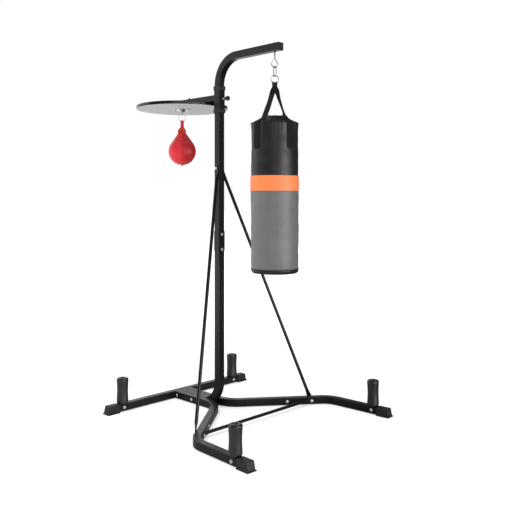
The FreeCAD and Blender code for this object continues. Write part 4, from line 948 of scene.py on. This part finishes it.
def red_leather(name, dark, light, shine, shaded_panels=False):
    """Polished leather: fine pores, faint creases and an uneven shine. On the ball every other panel is
    painted darker, as painted shade counterclockwise of the seam at seam_turn seen from above, and painted
    light clockwise of it.
    """
    material, shader, place = finish(name, Specular_IOR_Level=0.5, Coat_Roughness=0.25)
    pores = place.node("TexVoronoi", {"feature": "DISTANCE_TO_EDGE"}, {"Vector": place, "Scale": 700.0})
    crease = noise(place, 90, 5, 0.65)
    tone = 0.6 * noise(place, 18, 4) + 0.3 * crease
    if shaded_panels:
        x, y = (place.node("SeparateXYZ", {}, {0: place}, output=k) for k in (0, 1))
        sector = ((y - board_y).math("ARCTAN2", x) - seam_turn) * (ball_panels / (2 * math.pi))
        # Painted light and shade: every other panel is darker, so the panel counterclockwise of the seam at
        # seam_turn, seen from above, reads shaded and the one clockwise of it reads lit.
        tone = tone - 0.28 * (sector.math("FLOOR") * math.pi).math("COSINE") - 0.05
    tone.mixed(dark, light).feed(shader, "Base Color")
    (shine + 0.16 * crease).feed(shader, "Roughness")
    relief(pores.between(0.0, 0.12) + 0.8 * crease, 0.00025, shader, 0.4)
    return material


ball_panels, seam_turn = 4, math.radians(-132.0)
strap_leather = red_leather("strap_red_leather", (0.62, 0.020, 0.028), (0.86, 0.034, 0.044), 0.30)
ball_leather = red_leather("ball_red_leather", (0.56, 0.016, 0.024), (0.94, 0.040, 0.050), 0.22, True)
ball_centre, ball_radius = 1.6185, 0.0905
shoulder, collar, neck = 1.67041, 1.73573, 1.77186
shoulder_radius, collar_radius, neck_radius = 0.07413, 0.02839, 0.0170


def pear_radius(height):
    """Ball's radius at a height: a sphere up to its shoulder, a cone, and a hollow curve into the neck."""
    bend = 0.063
    sphere = np.sqrt(np.clip(ball_radius ** 2 - (height - ball_centre) ** 2, 0, None))
    cone = np.interp(height, [shoulder, collar], [shoulder_radius, collar_radius])
    below_neck = np.clip(neck - height, 0, None)
    hollow = neck_radius + bend - np.sqrt(np.clip(bend ** 2 - below_neck ** 2, 0, None))
    radius = np.where(height < shoulder, sphere, np.where(height < collar, cone, hollow))
    return np.where(height > neck, neck_radius, radius)


def ball_surface():
    """Ball's skin: the pear's profile turned round, drawn in along each seam and full between seams."""
    top, lid, columns = 1.7755, 1.7758, 256
    low_part = ball_centre - ball_radius * np.cos(np.linspace(0, math.radians(125), 92))
    heights = np.concatenate([low_part, np.linspace(low_part[-1], top, 62)[1:], [lid]])
    radii = pear_radius(heights)
    radii[[0, -1]] = 0
    turn = full_turn(columns)
    gap = 2 * np.pi / ball_panels
    from_seam = np.abs((turn - seam_turn + gap / 2) % gap - gap / 2)
    distance = radii[:, None] * from_seam
    groove = -0.0016 * np.exp(-(distance / 0.0016) ** 2) - 0.0010 * np.exp(-(distance / 0.0065) ** 2)
    bulge = 0.0010 * (1 - np.cos(2 * np.pi * from_seam / gap))
    fullness = bulge * np.clip(radii / 0.09, 0, 1)[:, None]
    open_part = np.clip(radii / 0.02, 0, 1)[:, None]
    near_neck = np.exp(-((heights - 1.745) / 0.022) ** 2)[:, None]
    creases = 0.0005 * near_neck * np.sin(24 * turn + 1.0)
    radius = radii[:, None] + (groove + fullness + creases) * open_part
    points = turned((0, board_y), radius, turn, heights[:, None])
    along = distances(np.stack([radii, heights], axis=1))
    return points, along, round_lengths(ball_radius, columns)


ball = grid_piece("speed_ball_skin", *ball_surface(), False, True)
complete(ball, ball_leather, "ball")
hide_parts("ball_shell")

ball_side, ball_back = folded_loop("ball_ring_loop", "swivel_ring", 0.022, 0.003, 0.0004, 1.7765,
                                   strap_leather, "ball", "ball_loop")
ball_front = -ball_back
flap_tilt = math.radians(22)
flap_radius, flap_thickness, flap_reach, flap_height = 0.0275, 0.0030, 0.0276, 1.749
flap_out = math.cos(flap_tilt) * ball_front + math.sin(flap_tilt) * upright
flap_up = -math.sin(flap_tilt) * ball_front + math.cos(flap_tilt) * upright
flap_centre = np.array([0, board_y, flap_height]) + flap_reach * ball_front


def flap_point(side, up, out):
    """Point on the flap from distances sideways, up its face and out of it.

    The leather is pressed into the hollow of the neck, and its sides curl back a little.
    """
    side, up, out = (np.asarray(value, dtype=float) for value in (side, up, out))
    height = flap_centre[2] + up * math.cos(flap_tilt)
    ahead = flap_reach - up * math.sin(flap_tilt)
    hollow = np.clip((ahead - pear_radius(height)) * math.cos(flap_tilt) - 0.0006, 0, None)
    bent = out - 0.90 * hollow - 0.0022 * (side / flap_radius) ** 2
    return flap_centre + side[..., None] * ball_side + up[..., None] * flap_up + bent[..., None] * flap_out


def flap_surface():
    """Round leather flap: a disc with a round edge, whose face and back wave a little."""
    soft, half, columns = 0.93, flap_thickness / 2, 72
    edge_turn = np.linspace(0, np.pi, 9)[1:-1]
    share = np.concatenate([np.linspace(0, soft, 14), soft + (1 - soft) * np.sin(edge_turn),
                            np.linspace(soft, 0, 8)])
    out = np.concatenate([np.full(14, flap_thickness), half + half * np.cos(edge_turn), np.zeros(8)])
    turn = full_turn(columns)
    radii = flap_radius * share[:, None]
    curl = 0.0005 * np.sin(3 * turn + 1) * share[:, None] ** 2
    points = flap_point(radii * np.cos(turn), radii * np.sin(turn), out[:, None] + curl)
    along = distances(np.stack([flap_radius * share, out], axis=1))
    return points, along, round_lengths(flap_radius, columns)


flap = grid_piece("ball_lace_flap", *flap_surface(), False, True)
complete(flap, strap_leather, "ball")
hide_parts("ball_flap")

brass, brass_shader, brass_place = finish("brass_eyelet", Metallic=1.0)
tarnish = noise(brass_place, 600, 3)
tarnish.mixed((0.62, 0.44, 0.16), (0.80, 0.62, 0.28)).feed(brass_shader, "Base Color")
(0.22 + 0.15 * tarnish).feed(brass_shader, "Roughness")


def eyelet(name, side, up):
    """Rolled metal eyelet: a ring round its hole, wider than it is high, sunk half into the leather."""
    hole, half_width, half_height = 0.0026, 0.0009, 0.0006
    turn, around = full_turn(24)[:, None], full_turn(8)
    reach = hole + half_width * np.cos(around)
    out = flap_thickness + 0.0001 + half_height * np.sin(around)
    points = flap_point(side + reach * np.cos(turn), up + reach * np.sin(turn), out)
    ring = grid_piece(name, points, np.linspace(0, 0.016, 25), np.linspace(0, 0.006, 9), True, True)
    return complete(ring, brass, "ball")


eyelet_places = [(side, up) for up in (0.014, 0.005, -0.004, -0.013) for side in (-0.0065, 0.0065)]
for index, (side, up) in enumerate(eyelet_places):
    eyelet(f"flap_eyelet_{index}", side, up)

lace, lace_shader, lace_place = finish("waxed_lace", Roughness=0.6)
lace_twist = lace_place.node("TexWave", {"bands_direction": "DIAGONAL"},
                             {"Vector": lace_place, "Scale": 260.0})
lace_twist.mixed((0.20, 0.010, 0.018), (0.42, 0.022, 0.034)).feed(lace_shader, "Base Color")
relief(lace_twist, 0.0002, lace_shader, 0.6)


def lace_run(name, start, end):
    """One run of lace: a round cord that dips into two eyelets and rises between them."""
    thickness = 0.0020
    share = np.linspace(0, 1, 19)
    side = start[0] + share * (end[0] - start[0])
    up = start[1] + share * (end[1] - start[1])
    out = 0.0018 + 0.0034 * np.sin(np.pi * share) ** 0.6
    middle = flap_point(side, up, out)
    ahead = np.gradient(middle, axis=0)
    ahead /= np.linalg.norm(ahead, axis=1)[:, None]
    beside = np.cross(ahead, flap_out)
    beside /= np.linalg.norm(beside, axis=1)[:, None]
    girth = thickness / 2 * ((share > 0) & (share < 1))
    ring = round_section(full_turn(8), beside, np.cross(beside, ahead))
    points = middle[:, None, :] + girth[:, None, None] * ring
    run = grid_piece(name, points, distances(middle), np.linspace(0, 0.0063, 9), False, True)
    return complete(run, lace, "ball")


for index in range(3):
    low_pair = eyelet_places[2 * index + 2:2 * index + 4]
    high_pair = eyelet_places[2 * index:2 * index + 2]
    lace_run(f"lace_cross_{index}_a", high_pair[0], low_pair[1])
    lace_run(f"lace_cross_{index}_b", high_pair[1], low_pair[0])
lace_run("lace_top", *eyelet_places[:2])

red_thread = thread_finish("red_thread", (0.36, 0.02, 0.03))
edge_turn = full_turn(42)
edge_radius = flap_radius - 0.0028
edge_places = flap_point(edge_radius * np.cos(edge_turn), edge_radius * np.sin(edge_turn), flap_thickness)
edge_along = round_section(edge_turn, flap_up, -ball_side)
edge_outward = np.broadcast_to(flap_out, edge_along.shape)
stitch_row("flap_stitches", edge_places, edge_along, edge_outward, 0.0028, 0.0007,
           red_thread, "ball")

rubber, rubber_shader, rubber_place = finish("black_rubber", Specular_IOR_Level=0.35)
bloom = noise(rubber_place, 200, 4)
bloom.mixed((0.018, 0.018, 0.018), (0.040, 0.040, 0.040)).feed(rubber_shader, "Base Color")
(0.55 + 0.2 * bloom).feed(rubber_shader, "Roughness")
relief(bloom, 0.0001, rubber_shader, 0.5)
dress(rubber, "ball_bladder", "ball_valve")
